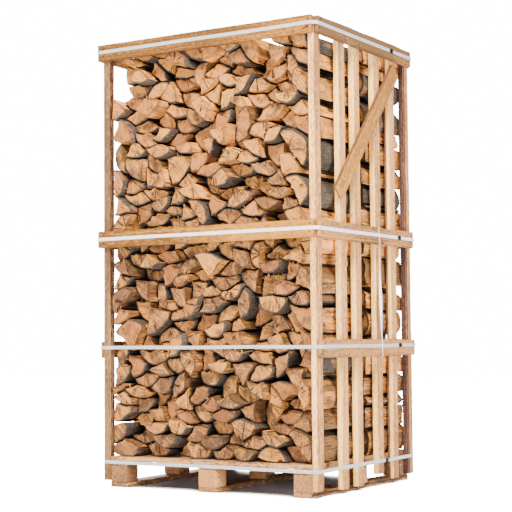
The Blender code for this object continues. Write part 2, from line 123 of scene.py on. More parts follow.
def put_mesh(
    name: str,
    shape: Mesh,
    finishes: list[bpy.types.Material],
    attributes: dict[str, np.ndarray] | None = None,
    slots: np.ndarray | None = None,
    sharp: float = 35.0,
) -> bpy.types.Object:
    """Puts whole arrays into a new mesh object that rides on the pallet.

    Args:
        name: Name of the piece.
        shape: Corner places, and the corner numbers of its quads and of its triangles.
        finishes: Materials, in the order that the slots count them.
        attributes: Values kept at the corners, one or three to a corner.
        slots: Material number of each face, quads first.
        sharp: Degrees between two faces past which their edge is drawn hard.

    Returns:
        The new object.
    """
    vertices, quads, triangles = shape
    mesh = bpy.data.meshes.new(name)
    mesh.vertices.add(len(vertices))
    mesh.vertices.foreach_set("co", np.asarray(vertices, np.float32).ravel())
    loops = np.concatenate([quads.ravel(), triangles.ravel()]).astype(np.int32)
    starts = np.concatenate(
        [4 * np.arange(len(quads)), 4 * len(quads) + 3 * np.arange(len(triangles))]
    )
    mesh.loops.add(len(loops))
    mesh.loops.foreach_set("vertex_index", loops)
    mesh.polygons.add(len(starts))
    mesh.polygons.foreach_set("loop_start", starts.astype(np.int32))
    if slots is not None:
        mesh.polygons.foreach_set("material_index", np.asarray(slots, np.int32))
    mesh.update(calc_edges=True)
    for key, values in (attributes or {}).items():
        kind, channel = ("FLOAT", "value") if values.ndim == 1 else ("FLOAT_VECTOR", "vector")
        layer = mesh.attributes.new(key, kind, "POINT")
        layer.data.foreach_set(channel, np.asarray(values, np.float32).ravel())
    mesh.shade_smooth()
    mesh.set_sharp_from_angle(angle=math.radians(sharp))
    for finish in finishes:
        mesh.materials.append(finish)
    piece = bpy.data.objects.new(name, mesh)
    bpy.context.scene.collection.objects.link(piece)
    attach(piece, "root")
    return piece


def compass(angle: np.ndarray) -> np.ndarray:
    """Steps one unit long in the directions of some angles: (cos, sin)."""
    return np.stack([np.cos(angle), np.sin(angle)], -1)


def unit(ways: np.ndarray) -> np.ndarray:
    """The same directions, each one unit long."""
    return ways / np.linalg.norm(ways, axis=-1, keepdims=True)


def belt(low: int, high: int, girth: int) -> np.ndarray:
    """Quads between two rings of corners, given the number of each ring's first corner."""
    ring = np.arange(girth)
    after = np.roll(ring, -1)
    return np.stack([low + ring, low + after, high + after, high + ring], -1)


def tube(rings: int, girth: int) -> np.ndarray:
    """Quads of a tube whose corners are numbered ring by ring."""
    return np.concatenate([belt(i * girth, (i + 1) * girth, girth) for i in range(rings - 1)])


def fan(low: int, girth: int, hub: int) -> np.ndarray:
    """Triangles from a ring of corners to the corner at its hub."""
    ring = np.arange(girth)
    return np.stack([low + ring, low + np.roll(ring, -1), np.full(girth, hub)], -1)


def turned(faces: np.ndarray) -> np.ndarray:
    """Quads or triangles with their first two corners changed, so that they look the other way."""
    return faces[:, [1, 0, 3, 2] if faces.shape[1] == 4 else [1, 0, 2]]


def carried(
    path: np.ndarray, side: np.ndarray, up: np.ndarray, profile: np.ndarray, closed: bool
) -> Mesh:
    """Carries a closed profile along a path: path + side * first + up * second.

    Args:
        path: Points of the path.
        side: Direction of the profile's first axis at each point.
        up: Direction of its second axis at each point.
        profile: Points of the profile, or a set of them for each point of the path.
        closed: Whether the path's end joins its start. Open ends get a fan of triangles.

    Returns:
        The mesh, looking out where side x up runs along the path.
    """
    profile = np.broadcast_to(profile, (len(path), *profile.shape[-2:]))
    girth = profile.shape[1]
    rings = path[:, None] + side[:, None] * profile[..., :1] + up[:, None] * profile[..., 1:]
    vertices, quads = rings.reshape(-1, 3), tube(len(path), girth)
    last, hub = (len(path) - 1) * girth, len(vertices)
    if closed:
        return vertices, np.concatenate([quads, belt(last, 0, girth)]), np.zeros((0, 3), int)
    fans = np.concatenate([turned(fan(0, girth, hub)), fan(last, girth, hub + 1)])
    return np.concatenate([vertices, rings[[0, -1]].mean(1)]), quads, fans


def copies(vertices: np.ndarray, quads: np.ndarray, triangles: np.ndarray) -> Mesh:
    """One mesh of many bodies that have the same faces, given the corner places of each body."""
    first = np.arange(len(vertices))[:, None, None] * vertices.shape[1]
    faces = [(first + own).reshape(-1, own.shape[1]) for own in (quads, triangles)]
    return vertices.reshape(-1, 3), *faces


def joined(parts: list[Mesh]) -> Mesh:
    """Joins meshes into one."""
    starts = np.cumsum([0, *(len(part[0]) for part in parts[:-1])])
    quads = [part[1] + start for part, start in zip(parts, starts)]
    triangles = [part[2] + start for part, start in zip(parts, starts)]
    vertices = np.concatenate([part[0] for part in parts])
    return vertices, np.concatenate(quads), np.concatenate(triangles)


def ripple(rng: np.random.Generator, *axes: tuple[np.ndarray, float], terms: int = 6) -> np.ndarray:
    """A smooth random field between about -1 and 1: sines of random slant, pitch and phase, added.

    Args:
        rng: Source of the random numbers.
        axes: Pairs of a coordinate array and the shortest wave along it, in the same unit.
        terms: How many sines are added.

    Returns:
        The field, in the shape that the coordinates have together.
    """
    field_sum: np.ndarray | float = 0.0
    for _ in range(terms):
        phase: np.ndarray | float = rng.uniform(0, TURN)
        for values, shortest in axes:
            phase = phase + values * (rng.uniform(-TURN, TURN) / shortest)
        field_sum = field_sum + np.sin(phase)
    return field_sum / math.sqrt(terms)


# ---------------------------------------------------------------- finishes


@dataclass(frozen=True)
class Look:
    """What a finish's own nodes give to the shader."""

    base: str  # the colour under all layers
    layers: list[tuple[float | bpy.types.NodeSocket, str]]  # how much each colour covers
    height: bpy.types.NodeSocket
    relief: tuple[float, float]  # strength of the bump and its height in metres
    values: dict[str, float]  # the shader's plain inputs


@dataclass(frozen=True)
class Finish(ABC):
    """What every finish shares: a name, and how its colours and relief reach the shader."""

    name: str

    @abstractmethod
    def look(self, add: Add) -> Look:
        """Adds the finish's own nodes.

        Args:
            add: Adds a node to the material's tree, as add_node does.

        Returns:
            What the nodes give to the shader.
        """

    def build(self) -> bpy.types.Material:
        """Builds the material: each layer of colour over the ones below it, and a bump."""
        made = bpy.data.materials.new(self.name)
        made.use_nodes = True
        add = partial(add_node, made.node_tree)
        look = self.look(add)
        colour: object = linear(look.base)
        for share, over in look.layers:
            colour = add("Mix", {"Factor": share, "A": colour, "B": linear(over)}, data_type="RGBA")
        strength, distance = look.relief
        bump = add("Bump", {"Height": look.height, "Strength": strength, "Distance": distance})
        shader = made.node_tree.nodes["Principled BSDF"]
        fill(shader, {"Base Color": colour, "Normal": bump, **look.values})
        return made


@dataclass(frozen=True)
class SawnWood(Finish):
    """Rough-sawn softwood board. Gives the eye long growth bands and streaks, a few knots, small
    dark specks, soiled edges and a fuzzy sawn surface. Reads "grain", a board's own coordinates
    with the heart of its tree at zero, "edge", which is one on its edges, and "tone", which differs
    from board to board."""

    pale: str
    dark: str
    knot: str = "#4A2C18"
    ring_mm: float = 9.0  # real rings are 2 to 4 mm apart, too fine to show
    knot_mm: float = 210.0
    speck_mm: float = 17.0
    contrast: float = 0.28
    edge_dirt: float = 0.25  # how dark the eased edges get where they are soiled

    def look(self, add: Add) -> Look:
        """Adds the nodes, as Finish.look says."""
        grain = add("Attribute", attribute_name="grain", out="Vector")
        tone = add("Attribute", attribute_name="tone", out="Fac")
        split = add("SeparateXYZ", {0: grain}).node.outputs
        slow, thin, short, middling, knot_place = (
            add("VectorMath", {0: grain, 1: (1.0, 1.0, length)}, operation="MULTIPLY")
            for length in (0.12, 0.035, 0.3, 0.5, 0.42)
        )
        sway = add("TexNoise", {"Vector": slow, "Scale": 14.0, "Detail": 2.0})
        flat = add("CombineXYZ", {0: split[0], 1: split[1]})
        radius = add("VectorMath", {0: flat}, operation="LENGTH")
        swayed = add("Math", {0: sway, 1: 0.03, 2: radius}, operation="MULTIPLY_ADD")
        ringed = add("Math", {0: swayed, 1: TURN * 1000 / self.ring_mm}, operation="MULTIPLY")
        ring = add("Math", {0: ringed}, operation="SINE")
        fibre = add("TexNoise", {"Vector": thin, "Scale": 80.0, "Detail": 5.0, "Roughness": 0.65})
        patch = add("TexNoise", {"Vector": slow, "Scale": 7.0, "Detail": 3.0})
        grit = add("TexNoise", {"Vector": short, "Scale": 150.0, "Detail": 3.0})
        zone = add("TexNoise", {"Vector": middling, "Scale": 6.0, "Detail": 3.0})
        depth = add("Math", {0: fibre, 1: 1.3}, operation="MULTIPLY")
        for part, share in ((ring, 0.06), (grit, 1.6), (patch, 0.9), (zone, 0.7), (tone, 0.22)):
            depth = add("Math", {0: part, 1: share, 2: depth}, operation="MULTIPLY_ADD")
        knot, speck = (
            add("TexVoronoi", {"Vector": knot_place, "Scale": 1000 / pitch, "Randomness": 1.0})
            for pitch in (self.knot_mm, self.speck_mm)
        )
        spread, knotted, dotted, dirty, rubbed = (
            add("MapRange", {"Value": source, "From Min": low, "From Max": high, "To Max": most})
            for source, low, high, most in (
                (depth, 1.75 + self.contrast, 2.75 - self.contrast, 1.0),
                (knot, 0.055, 0.03, 0.8),
                (speck, 0.2, 0.1, 0.7),
                (patch, 0.52, 0.58, 1.0),
                (zone, 0.35, 0.65, self.edge_dirt),
            )
        )
        specked = add("Math", {0: dotted, 1: dirty}, operation="MULTIPLY")
        spotted = add("Math", {0: specked, 1: knotted}, operation="MAXIMUM")
        corner = add("Attribute", attribute_name="edge", out="Fac")
        narrow = add("Math", {0: corner, 1: 3.0}, operation="POWER")
        soiled = add("Math", {0: narrow, 1: rubbed}, operation="MULTIPLY")
        marked = add("Math", {0: spotted, 1: soiled}, operation="MAXIMUM")
        marks = add(
            "TexWave",
            {"Vector": grain, "Scale": 55.0, "Distortion": 2.5, "Detail": 1.0},
            bands_direction="Z",
            out="Fac",
        )
        height = add("Math", {0: marks, 1: 0.25, 2: fibre}, operation="MULTIPLY_ADD")
        layers = [(spread, self.dark), (marked, self.knot)]
        values = {"Roughness": 0.82, "Specular IOR Level": 0.25}
        return Look(self.pale, layers, height, (0.35, 0.0012), values)


@dataclass(frozen=True)
class LogEnd(Finish):
    """End grain of split hardwood, cut with a chain saw. Gives the eye faint growth rings round
    the heart, drying cracks that run out from it, slanting streaks left by the saw, and painted
    shade that darkens the rim, standing in for the shadow of the joints round the end. Reads
    "in_log", places from the log's heart, "cut", places across and along its streaks, "edge", which
    is one at the rim, where the painted shade lies, and "tone", whose first part also carries the
    painted shading by height."""

    pale: str = "#CF8D3F"
    blush: str = "#CD8748"
    dark: str = "#6C4C35"
    orange: str = "#8B5427"
    aged: str = "#543D2D"
    # Colour of the cracks, and of the painted shade at the rim.
    crack: str = "#1C120B"
    # How dark the painted shade at the rim gets.
    soil: float = 0.9
    ring_mm: float = 11.0  # real rings are 2 to 4 mm apart, too fine to show
    score_mm: float = 9.0  # real saw scores are 2 to 3 mm apart, too fine to show

    def look(self, add: Add) -> Look:
        """Adds the nodes, as Finish.look says."""
        place = add("Attribute", attribute_name="in_log", out="Vector")
        cut = add("Attribute", attribute_name="cut", out="Vector")
        tone = add("Attribute", attribute_name="tone", out="Vector")
        tones = add("SeparateXYZ", {0: tone}).node.outputs
        split = add("SeparateXYZ", {0: place}).node.outputs
        flat = add("CombineXYZ", {0: split[0], 2: split[2]})
        radius = add("VectorMath", {0: flat}, operation="LENGTH")
        ray = add("VectorMath", {0: flat}, operation="NORMALIZE")
        own = add("CombineXYZ", {1: tones[1]})
        own_ray = add("VectorMath", {0: own, 1: (0, 37.0, 0), 2: ray}, operation="MULTIPLY_ADD")
        blotch = add("TexNoise", {"Vector": place, "Scale": 22.0, "Detail": 4.0})
        swayed = add("Math", {0: blotch, 1: 0.014, 2: radius}, operation="MULTIPLY_ADD")
        ringed = add("Math", {0: swayed, 1: TURN * 1000 / self.ring_mm}, operation="MULTIPLY")
        ring = add("Math", {0: ringed}, operation="SINE")
        rays = add("TexNoise", {"Vector": own_ray, "Scale": 8.0, "Detail": 4.0})
        drawn = add("VectorMath", {0: cut, 1: (1.0, 1.0, 0.1)}, operation="MULTIPLY")
        streak = add(
            "TexNoise",
            {"Vector": drawn, "Scale": 1000 / self.score_mm, "Detail": 3.0, "Roughness": 0.6},
        )
        grit = add("TexNoise", {"Vector": place, "Scale": 150.0, "Detail": 3.0, "Roughness": 0.7})
        scores = blotch
        for part, share in ((ring, 0.045), (grit, 1.2), (streak, 1.2)):
            scores = add("Math", {0: part, 1: share, 2: scores}, operation="MULTIPLY_ADD")
        depth = scores
        for part, share in ((rays, 0.4), (tones[0], 0.25)):
            depth = add("Math", {0: part, 1: share, 2: depth}, operation="MULTIPLY_ADD")
        stained = add("Math", {0: tones[2], 1: blotch}, operation="MULTIPLY")
        edge = add("TexVoronoi", {"Vector": own_ray, "Scale": 0.9}, feature="DISTANCE_TO_EDGE")
        gape = add("Math", {0: edge, 1: radius}, operation="MULTIPLY")
        seasoned = add("Math", {0: tones[2], 1: -0.22, 2: blotch}, operation="MULTIPLY_ADD")
        edge_near = add("Attribute", attribute_name="edge", out="Fac")
        spread, warmed, aging, open_part, broken, soiled = (
            add("MapRange", {"Value": source, "From Min": low, "From Max": high, "To Max": most})
            for source, low, high, most in (
                (depth, 1.76, 2.21, 1.0),
                (tones[1], 0.6, 1.0, 0.6),
                (stained, 0.36, 0.6, 0.8),
                (gape, 0.0014, 0.0004, 1.0),
                (seasoned, 0.4, 0.48, 0.85),
                # Painted shade at the rim of the end.
                (edge_near, 0.2, 0.75, self.soil),
            )
        )
        cracked = add("Math", {0: open_part, 1: broken}, operation="MULTIPLY")
        # Cracks and the painted rim shade, both in the crack colour.
        marked = add("Math", {0: cracked, 1: soiled}, operation="MAXIMUM")
        height = add("Math", {0: cracked, 1: -1.5, 2: scores}, operation="MULTIPLY_ADD")
        layers = [
            (tones[1], self.blush),
            (spread, self.dark),
            (warmed, self.orange),
            (aging, self.aged),
            (marked, self.crack),
        ]
        values = {"Roughness": 0.9, "Specular IOR Level": 0.15}
        return Look(self.pale, layers, height, (1.0, 0.007), values)


@dataclass(frozen=True)
class SplitFace(Finish):
    """Face of hardwood torn open along its fibres. Gives the eye long streaks from honey to rust,
    torn ridges that catch the light, small dark knots, and painted shade near the sawn end and deep
    in the joints between logs. Reads "in_log", "tone", "edge", which is one at the sawn end, where
    painted shade darkens the face, and a count of how many widths deep a place lies in the joint
    with the next log, where painted shade darkens it."""

    pale: str = "#FFAC50"
    dark: str = "#70502F"
    rust: str = "#754B2A"
    # Colour of knots and fissures, and of the painted shade near the end and in the joints.
    knot: str = "#24140B"
    # How dark the painted shade near the sawn end gets.
    soil: float = 0.65
    toned: float = 0.5  # how much a log's own tone shows, with its painted shading by height
    fibre_mm: float = 5.0  # real fibres are under a millimetre, too fine to show

    def look(self, add: Add) -> Look:
        """Adds the nodes, as Finish.look says."""
        place = add("Attribute", attribute_name="in_log", out="Vector")
        tone = add("Attribute", attribute_name="tone", out="Vector")
        tones = add("SeparateXYZ", {0: tone}).node.outputs
        drawn = add("VectorMath", {0: place, 1: (1.0, 0.07, 1.0)}, operation="MULTIPLY")
        fibre = add(
            "TexNoise",
            {"Vector": drawn, "Scale": 1000 / self.fibre_mm, "Detail": 5.0, "Roughness": 0.6},
        )
        streak = add("TexNoise", {"Vector": drawn, "Scale": 42.0, "Detail": 2.0, "Distortion": 0.4})
        patch = add("TexNoise", {"Vector": place, "Scale": 11.0, "Detail": 2.0})
        both = add("Math", {0: fibre, 1: 1.1, 2: streak}, operation="MULTIPLY_ADD")
        depth = add("Math", {0: patch, 1: 0.4, 2: both}, operation="MULTIPLY_ADD")
        toned = add("Math", {0: tones[0], 1: self.toned, 2: depth}, operation="MULTIPLY_ADD")
        rusted = add("Math", {0: tones[1], 1: 0.35, 2: patch}, operation="MULTIPLY_ADD")
        stretched = add("VectorMath", {0: place, 1: (1.0, 0.5, 1.0)}, operation="MULTIPLY")
        knot = add("TexVoronoi", {"Vector": stretched, "Scale": 8.0})
        # Painted shade: the face darkens towards the sawn end.
        edge = add("Attribute", attribute_name="edge", out="Fac")
        soiled = add("Math", {0: edge, 1: self.soil}, operation="MULTIPLY")
        wander = add("TexNoise", {"Vector": drawn, "Scale": 30.0, "Detail": 4.0})
        level = add("Math", {0: wander, 1: 0.5}, operation="SUBTRACT")
        off = add("Math", {0: level}, operation="ABSOLUTE")
        # Painted shade deep in the joint with the next log.
        joint_shade = add("Attribute", attribute_name="joint_shade", out="Fac")
        spread, rust, knotted, fissure, shut = (
            add("MapRange", {"Value": source, "From Min": low, "From Max": high, "To Max": most})
            for source, low, high, most in (
                (toned, 1.03, 1.54, 1.0),
                (rusted, 0.68, 0.86, 0.6),
                (knot, 0.1, 0.05, 0.75),
                (off, 0.018, 0.005, 0.8),
                (joint_shade, 0.0, 1.6, 0.97),
            )
        )
        torn = add("Math", {0: knotted, 1: fissure}, operation="MAXIMUM")
        # Knots and fissures, with the painted shade near the sawn end.
        torn_and_end_shade = add("Math", {0: torn, 1: soiled}, operation="MAXIMUM")
        # The painted shade of the joints joins them, in the knot colour too.
        marked = add("Math", {0: torn_and_end_shade, 1: shut}, operation="MAXIMUM")
        layers = [(spread, self.dark), (rust, self.rust), (marked, self.knot)]
        values = {"Roughness": 0.78, "Specular IOR Level": 0.25}
        return Look(self.pale, layers, both, (1.0, 0.005), values)


@dataclass(frozen=True)
class Bark(Finish):
    """Dry grey bark of young hardwood. Gives the eye rough plates with dark cracks along the log,
    pale lichen, brown patches where the bark has come off, a weathered grey on the pale logs, more
    of them high in the pile, where the tone's painted shading by height makes logs paler, and
    painted shade deep in the joints between logs. Reads "in_log", "tone" and the count of widths
    deep in the joint, as the split face does."""

    grey: str = "#3B332D"
    # Darkest bark, also the colour of the painted shade in the joints.
    dark: str = "#0F0A06"
    lichen: str = "#6C6155"
    bare: str = "#7F583E"
    weathered: str = "#85786A"
    plate_mm: float = 14.0

    def look(self, add: Add) -> Look:
        """Adds the nodes, as Finish.look says."""
        place = add("Attribute", attribute_name="in_log", out="Vector")
        tone = add("Attribute", attribute_name="tone", out="Vector")
        tones = add("SeparateXYZ", {0: tone}).node.outputs
        drawn = add("VectorMath", {0: place, 1: (1.0, 0.3, 1.0)}, operation="MULTIPLY")
        rough = add("TexNoise", {"Vector": drawn, "Scale": 60.0, "Detail": 5.0, "Roughness": 0.8})
        plates = add(
            "TexVoronoi",
            {"Vector": drawn, "Scale": 1000 / self.plate_mm},
            feature="DISTANCE_TO_EDGE",
        )
        plate = add("MapRange", {"Value": plates, "From Max": 0.14, "To Min": 0.45})
        patch = add("TexNoise", {"Vector": drawn, "Scale": 16.0, "Detail": 4.0, "Distortion": 0.6})
        raised = add("Math", {0: plate, 1: rough}, operation="MULTIPLY")
        stripped = add("Math", {0: tones[1], 1: 0.22, 2: patch}, operation="MULTIPLY_ADD")
        # Painted shade deep in the joint with the next log.
        joint_shade = add("Attribute", attribute_name="joint_shade", out="Fac")
        weather, bare, shut = (
            add("MapRange", {"Value": source, "From Min": low, "From Max": high, "To Max": most})
            for source, low, high, most in (
                (tones[0], 0.2, -0.9, 0.45),
                (stripped, 0.72, 0.76, 1.0),
                (joint_shade, 0.0, 1.6, 0.97),
            )
        )
        rained = add("Math", {0: weather, 1: raised}, operation="MULTIPLY")
        sunk = add("Math", {0: bare, 1: -0.6, 2: raised}, operation="MULTIPLY_ADD")
        layers = [
            (raised, self.lichen),
            (0.25, self.grey),
            (rained, self.weathered),
            (bare, self.bare),
            (shut, self.dark),
        ]
        values = {"Roughness": 0.92, "Specular IOR Level": 0.15}
        return Look(self.dark, layers, sunk, (1.0, 0.004), values)


@dataclass(frozen=True)
class Band(Finish):
    """White polypropylene strapping, rolled with a waffle. Gives the eye a cool pale band with a
    soft plastic shine and a fine relief. Reads "along", metres along and across the band."""

    colour: str = "#DFE0E3"
    waffle_mm: float = 3.0

    def look(self, add: Add) -> Look:
        """Adds the nodes, as Finish.look says."""
        along = add("Attribute", attribute_name="along", out="Vector")
        waffle = add(
            "TexVoronoi", {"Vector": along, "Scale": 1000 / self.waffle_mm, "Randomness": 0.0}
        )
        clouds = add("TexNoise", {"Vector": along, "Scale": 18.0, "Detail": 3.0})
        dust = add("MapRange", {"Value": clouds, "From Min": 0.5, "From Max": 0.8})
        layers = [(dust, "#C9C3B8")]
        values = {"Roughness": 0.42, "IOR": 1.49}
        return Look(self.colour, layers, waffle, (0.4, 0.0004), values)


@dataclass(frozen=True)
class Steel(Finish):
    """Steel that has been blued or has darkened. Gives the eye a dark metal with specks of rust.
    Reads Object coordinates."""

    colour: str = "#33343A"
    rust: str = "#5A3A28"
    roughness: float = 0.45

    def look(self, add: Add) -> Look:
        """Adds the nodes, as Finish.look says."""
        place = add("TexCoord", out="Object")
        specks = add("TexNoise", {"Vector": place, "Scale": 260.0, "Detail": 4.0})
        rusted = add("MapRange", {"Value": specks, "From Min": 0.52, "From Max": 0.68})
        layers = [(rusted, self.rust)]
        values = {"Roughness": self.roughness, "Metallic": 0.8}
        return Look(self.colour, layers, specks, (0.2, 0.0004), values)


class Wood(Enum):
    """The sawn woods of the crate, by what is made of them and which side is seen."""

    RAIL = SawnWood("rough_sawn_pine_rail", "#B07625", "#5E3B16", contrast=0.16, edge_dirt=0.9)
    RAIL_SIDE = SawnWood("rough_sawn_pine_side_rail", "#B07B42", "#68492A", edge_dirt=0.9)
    RAIL_END = SawnWood("resinous_end_of_pine_rail", "#8E592D", "#633C24", contrast=0.22)
    POST = SawnWood("rough_sawn_spruce_post_side", "#D6995B", "#8D613B")
    POST_FRONT = SawnWood("planed_spruce_post_front", "#F9C37A", "#C08A4C", contrast=0.32)
    SLAT_FRONT = SawnWood("planed_spruce_slat_front", "#FFD179", "#D8A65B")
    # A copy of the post wood darkened with painted shade, for the front of the left front post.
    POST_LEFT = SawnWood("left_post_wood_in_painted_shade", "#896238", "#5F4225", contrast=0.34)
    # Bark, darkened further with painted shade, on the inner side of the left front post.
    POST_INNER = SawnWood("aged_inner_side_of_post", "#6E5036", "#301A12", contrast=0.36)
    PALLET = SawnWood("rough_sawn_pine_pallet", "#C08D58", "#6F4D33", contrast=0.34)
    PALLET_END = SawnWood("sawn_end_of_pine_pallet", "#B07C48", "#6D4A31", contrast=0.16)
    BRACE = SawnWood("aged_pine_brace", "#BB8033", "#8A5D29", contrast=0.3)
    BRACE_EDGE = SawnWood("resinous_edge_of_brace", "#8A5A2C", "#5A3A20")
    WANE = SawnWood("inner_bark_left_on_edge", "#7C583F", "#563B2C", contrast=0.3)
    BARK_SIDE = SawnWood("bark_side_of_post", "#5E4036", "#35211B")


# ---------------------------------------------------------------- firewood


class Row(Enum):
    """The two rows of logs, each with the direction that its sawn ends look in."""

    FRONT = -1
    REAR = 1


@dataclass
class Stack:
    """How one row of split logs is piled between the crate's sides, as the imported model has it.

    The sizes, the seeds and the order of the random draws are those of the CAD model, so each log
    here lies where its part of the solid is.
    """

    left: float = -0.538
    right: float = 0.547
    floor: float = 0.1443
    ceiling: float = 2.09
    column: float = 0.0025
    cell: float = 0.002
    log_room: float = 0.0016
    probe_step: float = 0.001
    swells: tuple[float, ...] = (0.0045, 0.002)
    bark_points: int = 16
    slot_columns: int = 18
    kind_tries: int = 5
    turn_tries: int = 12
    last_rounds: int = 8
    kinds: tuple[str, ...] = ("half", "third", "quarter", "sixth", "slab")
    radii: dict[str, tuple[float, float]] = field(
        default_factory=lambda: {
            "half": (0.061, 0.107),
            "third": (0.073, 0.117),
            "quarter": (0.084, 0.145),
            "sixth": (0.103, 0.157),
            "slab": (0.105, 0.162),
        }
    )
    spreads: dict[str, tuple[float, float]] = field(
        default_factory=lambda: {
            "half": (160, 184),
            "third": (112, 145),
            "quarter": (78, 112),
            "sixth": (48, 72),
            "slab": (50, 85),
        }
    )
    usual_shares: tuple[float, ...] = (0.26, 0.22, 0.36, 0.09, 0.07)
    bottom_shares: tuple[float, ...] = (0.60, 0.20, 0.20, 0.0, 0.0)
    split_bow: float = 0.045  # bow and wave of a split face, as parts of its width
    split_wave: float = 0.018
    bark_down: float = 0.92  # share of the logs laid bark down, and how far they lean
    lean: float = 0.36
    arc_swell: float = 0.03  # slow and quick bumps of the bark arc, as parts of its radius
    arc_ripple: float = 0.018
    least_round: float = 0.82  # how flat the arc may be
    heart_shift: float = 0.06
    slab_heart: tuple[float, float] = (0.35, 0.6)  # where a slab's inner face lies
    bottom_zone: float = 0.04
    slot_weight: float = 0.7  # how much the slots beside a log, its lift and its height count
    lift_weight: float = 5
    height_weight: float = 6

    def section(self, rng: np.random.Generator, kind: str) -> tuple[np.ndarray, float]:
        """Outline of a split log: its bark arc, then its split faces out to the heart and back.

        Args:
            rng: Source of the random numbers.
            kind: One of the kinds of split.

        Returns:
            The outline, anticlockwise round its centre, and its area.
        """
        radius = rng.uniform(*self.radii[kind])
        spread = np.radians(rng.uniform(*self.spreads[kind]))
        angle = np.linspace(-spread / 2, spread / 2, self.bark_points)
        swell = 1 + self.arc_swell * np.sin(2 * angle + rng.uniform(0, 2 * np.pi))
        swell += self.arc_ripple * np.sin(5 * angle + rng.uniform(0, 2 * np.pi))
        arc = radius * swell[:, None] * compass(angle)
        arc[:, 0] *= rng.uniform(self.least_round, 1.0)
        heart = rng.normal(0, self.heart_shift * radius, (2, 2))
        if kind == "slab":
            cos, sin = np.cos(spread / 2), np.sin(spread / 2)
            heart += rng.uniform(*self.slab_heart) * radius * np.array([[cos, sin], [cos, -sin]])
            corners, steps = [arc[-1], heart[0], heart[1], arc[0]], (7, 6, 8)
        else:
            corners, steps = [arc[-1], heart[0], arc[0]], (10, 11)
        sides = []
        for start, end, count in zip(corners, corners[1:], steps):
            share = np.linspace(0, 1, count + 1)[1:, None]
            bow = rng.normal(0, self.split_bow) * np.sin(np.pi * share)
            bow += rng.normal(0, self.split_wave) * np.sin(3 * np.pi * share)
            run = end - start
            sides.append(start + run * share + bow * np.array([run[1], -run[0]]))
        outline = np.concatenate([arc, *sides])[:-1]
        following = np.roll(outline, -1, 0)
        cross = outline[:, 0] * following[:, 1] - following[:, 0] * outline[:, 1]
        centre = ((outline + following) * cross[:, None]).sum(0) / (3 * cross.sum())
        return outline - centre, cross.sum() / 2

    def profile(self, outline: np.ndarray) -> tuple[int, np.ndarray, np.ndarray]:
        """First column that an outline covers, and its lowest and highest Z in each column."""
        first = int(np.floor(outline[:, 0].min() / self.column))
        last = int(np.ceil(outline[:, 0].max() / self.column))
        x = (np.arange(first, last) + 0.5) * self.column
        start, end = outline, np.roll(outline, -1, 0)
        run = end[:, :1] - start[:, :1]
        run = np.where(np.abs(run) < 1e-9, 1e-9, run)
        along = (x - start[:, :1]) / run
        reaches = np.abs(along - 0.5) <= 0.5 + np.minimum(self.column / 2 / np.abs(run), 0.6)
        z = start[:, 1:] + np.clip(along, 0, 1) * (end[:, 1:] - start[:, 1:])
        return first, np.where(reaches, z, np.inf).min(0), np.where(reaches, z, -np.inf).max(0)

    def slots(self, surface: np.ndarray, rest: np.ndarray, count: int) -> np.ndarray:
        """Width of the slots too narrow for a log that a piece at each place leaves beside it."""
        places = len(rest)
        padded = np.pad(surface, self.slot_columns, constant_values=np.inf)
        left = np.zeros(places)
        right = np.zeros(places)
        for step in range(self.slot_columns, 0, -1):
            beside = padded[self.slot_columns - step : self.slot_columns - step + places]
            left[beside >= rest] = step - 1
            start = self.slot_columns + count - 1 + step
            right[padded[start : start + places] >= rest] = step - 1
        return (left + right) * self.column

    def pile(self, rng: np.random.Generator) -> tuple[list[str], list[np.ndarray]]:
        """Piles outlines the way a stacker does: at each step some logs are turned and tried all
        along the pile, and the one that leaves least air round it is laid.

        Args:
            rng: Source of the random numbers.

        Returns:
            The kind and the outline of each log.
        """
        surface = np.full(int(round((self.right - self.left) / self.column)), self.floor)
        kinds: list[str] = []
        outlines: list[np.ndarray] = []
        failed = 0
        while failed < self.last_rounds:
            level = np.sort(surface)[: len(surface) // 8].mean()
            at_bottom = level < self.floor + self.bottom_zone
            shares = self.bottom_shares if at_bottom else self.usual_shares
            best = None
            for attempt in range(self.kind_tries * self.turn_tries):
                if attempt % self.turn_tries == 0:
                    kind = str(rng.choice(self.kinds, p=shares))
                outline, area = self.section(rng, kind)
                bark_down = rng.normal(-np.pi / 2, self.lean)
                turn = bark_down if rng.random() < self.bark_down else rng.uniform(0, 2 * np.pi)
                cos, sin = np.cos(turn), np.sin(turn)
                outline = outline @ np.array([[cos, sin], [-sin, cos]])
                first, low, high = self.profile(outline)
                windows = np.lib.stride_tricks.sliding_window_view(surface, len(low))
                rest = (windows - low).max(1)
                air = (rest[:, None] + low - windows).sum(1) * self.column
                slots = self.slots(surface, rest, len(low))
                air += self.slot_weight * slots * (high.max() - low.min())
                score = air / area + self.lift_weight * (rest + low.min() - level)
                score = score + self.height_weight * (rest + high.max() - level)
                score[rest + high.max() > self.ceiling] = np.inf
                spot = int(score.argmin())
                if best is None or score[spot] < best[0]:
                    best = score[spot], spot, rest[spot], kind, outline, first, high
            score, spot, rest, kind, outline, first, high = best
            if not np.isfinite(score):
                failed += 1
                continue
            kinds.append(kind)
            outlines.append(outline + [self.left + (spot - first) * self.column, rest])
            surface[spot : spot + len(high)] = rest + high + self.log_room
        return kinds, outlines

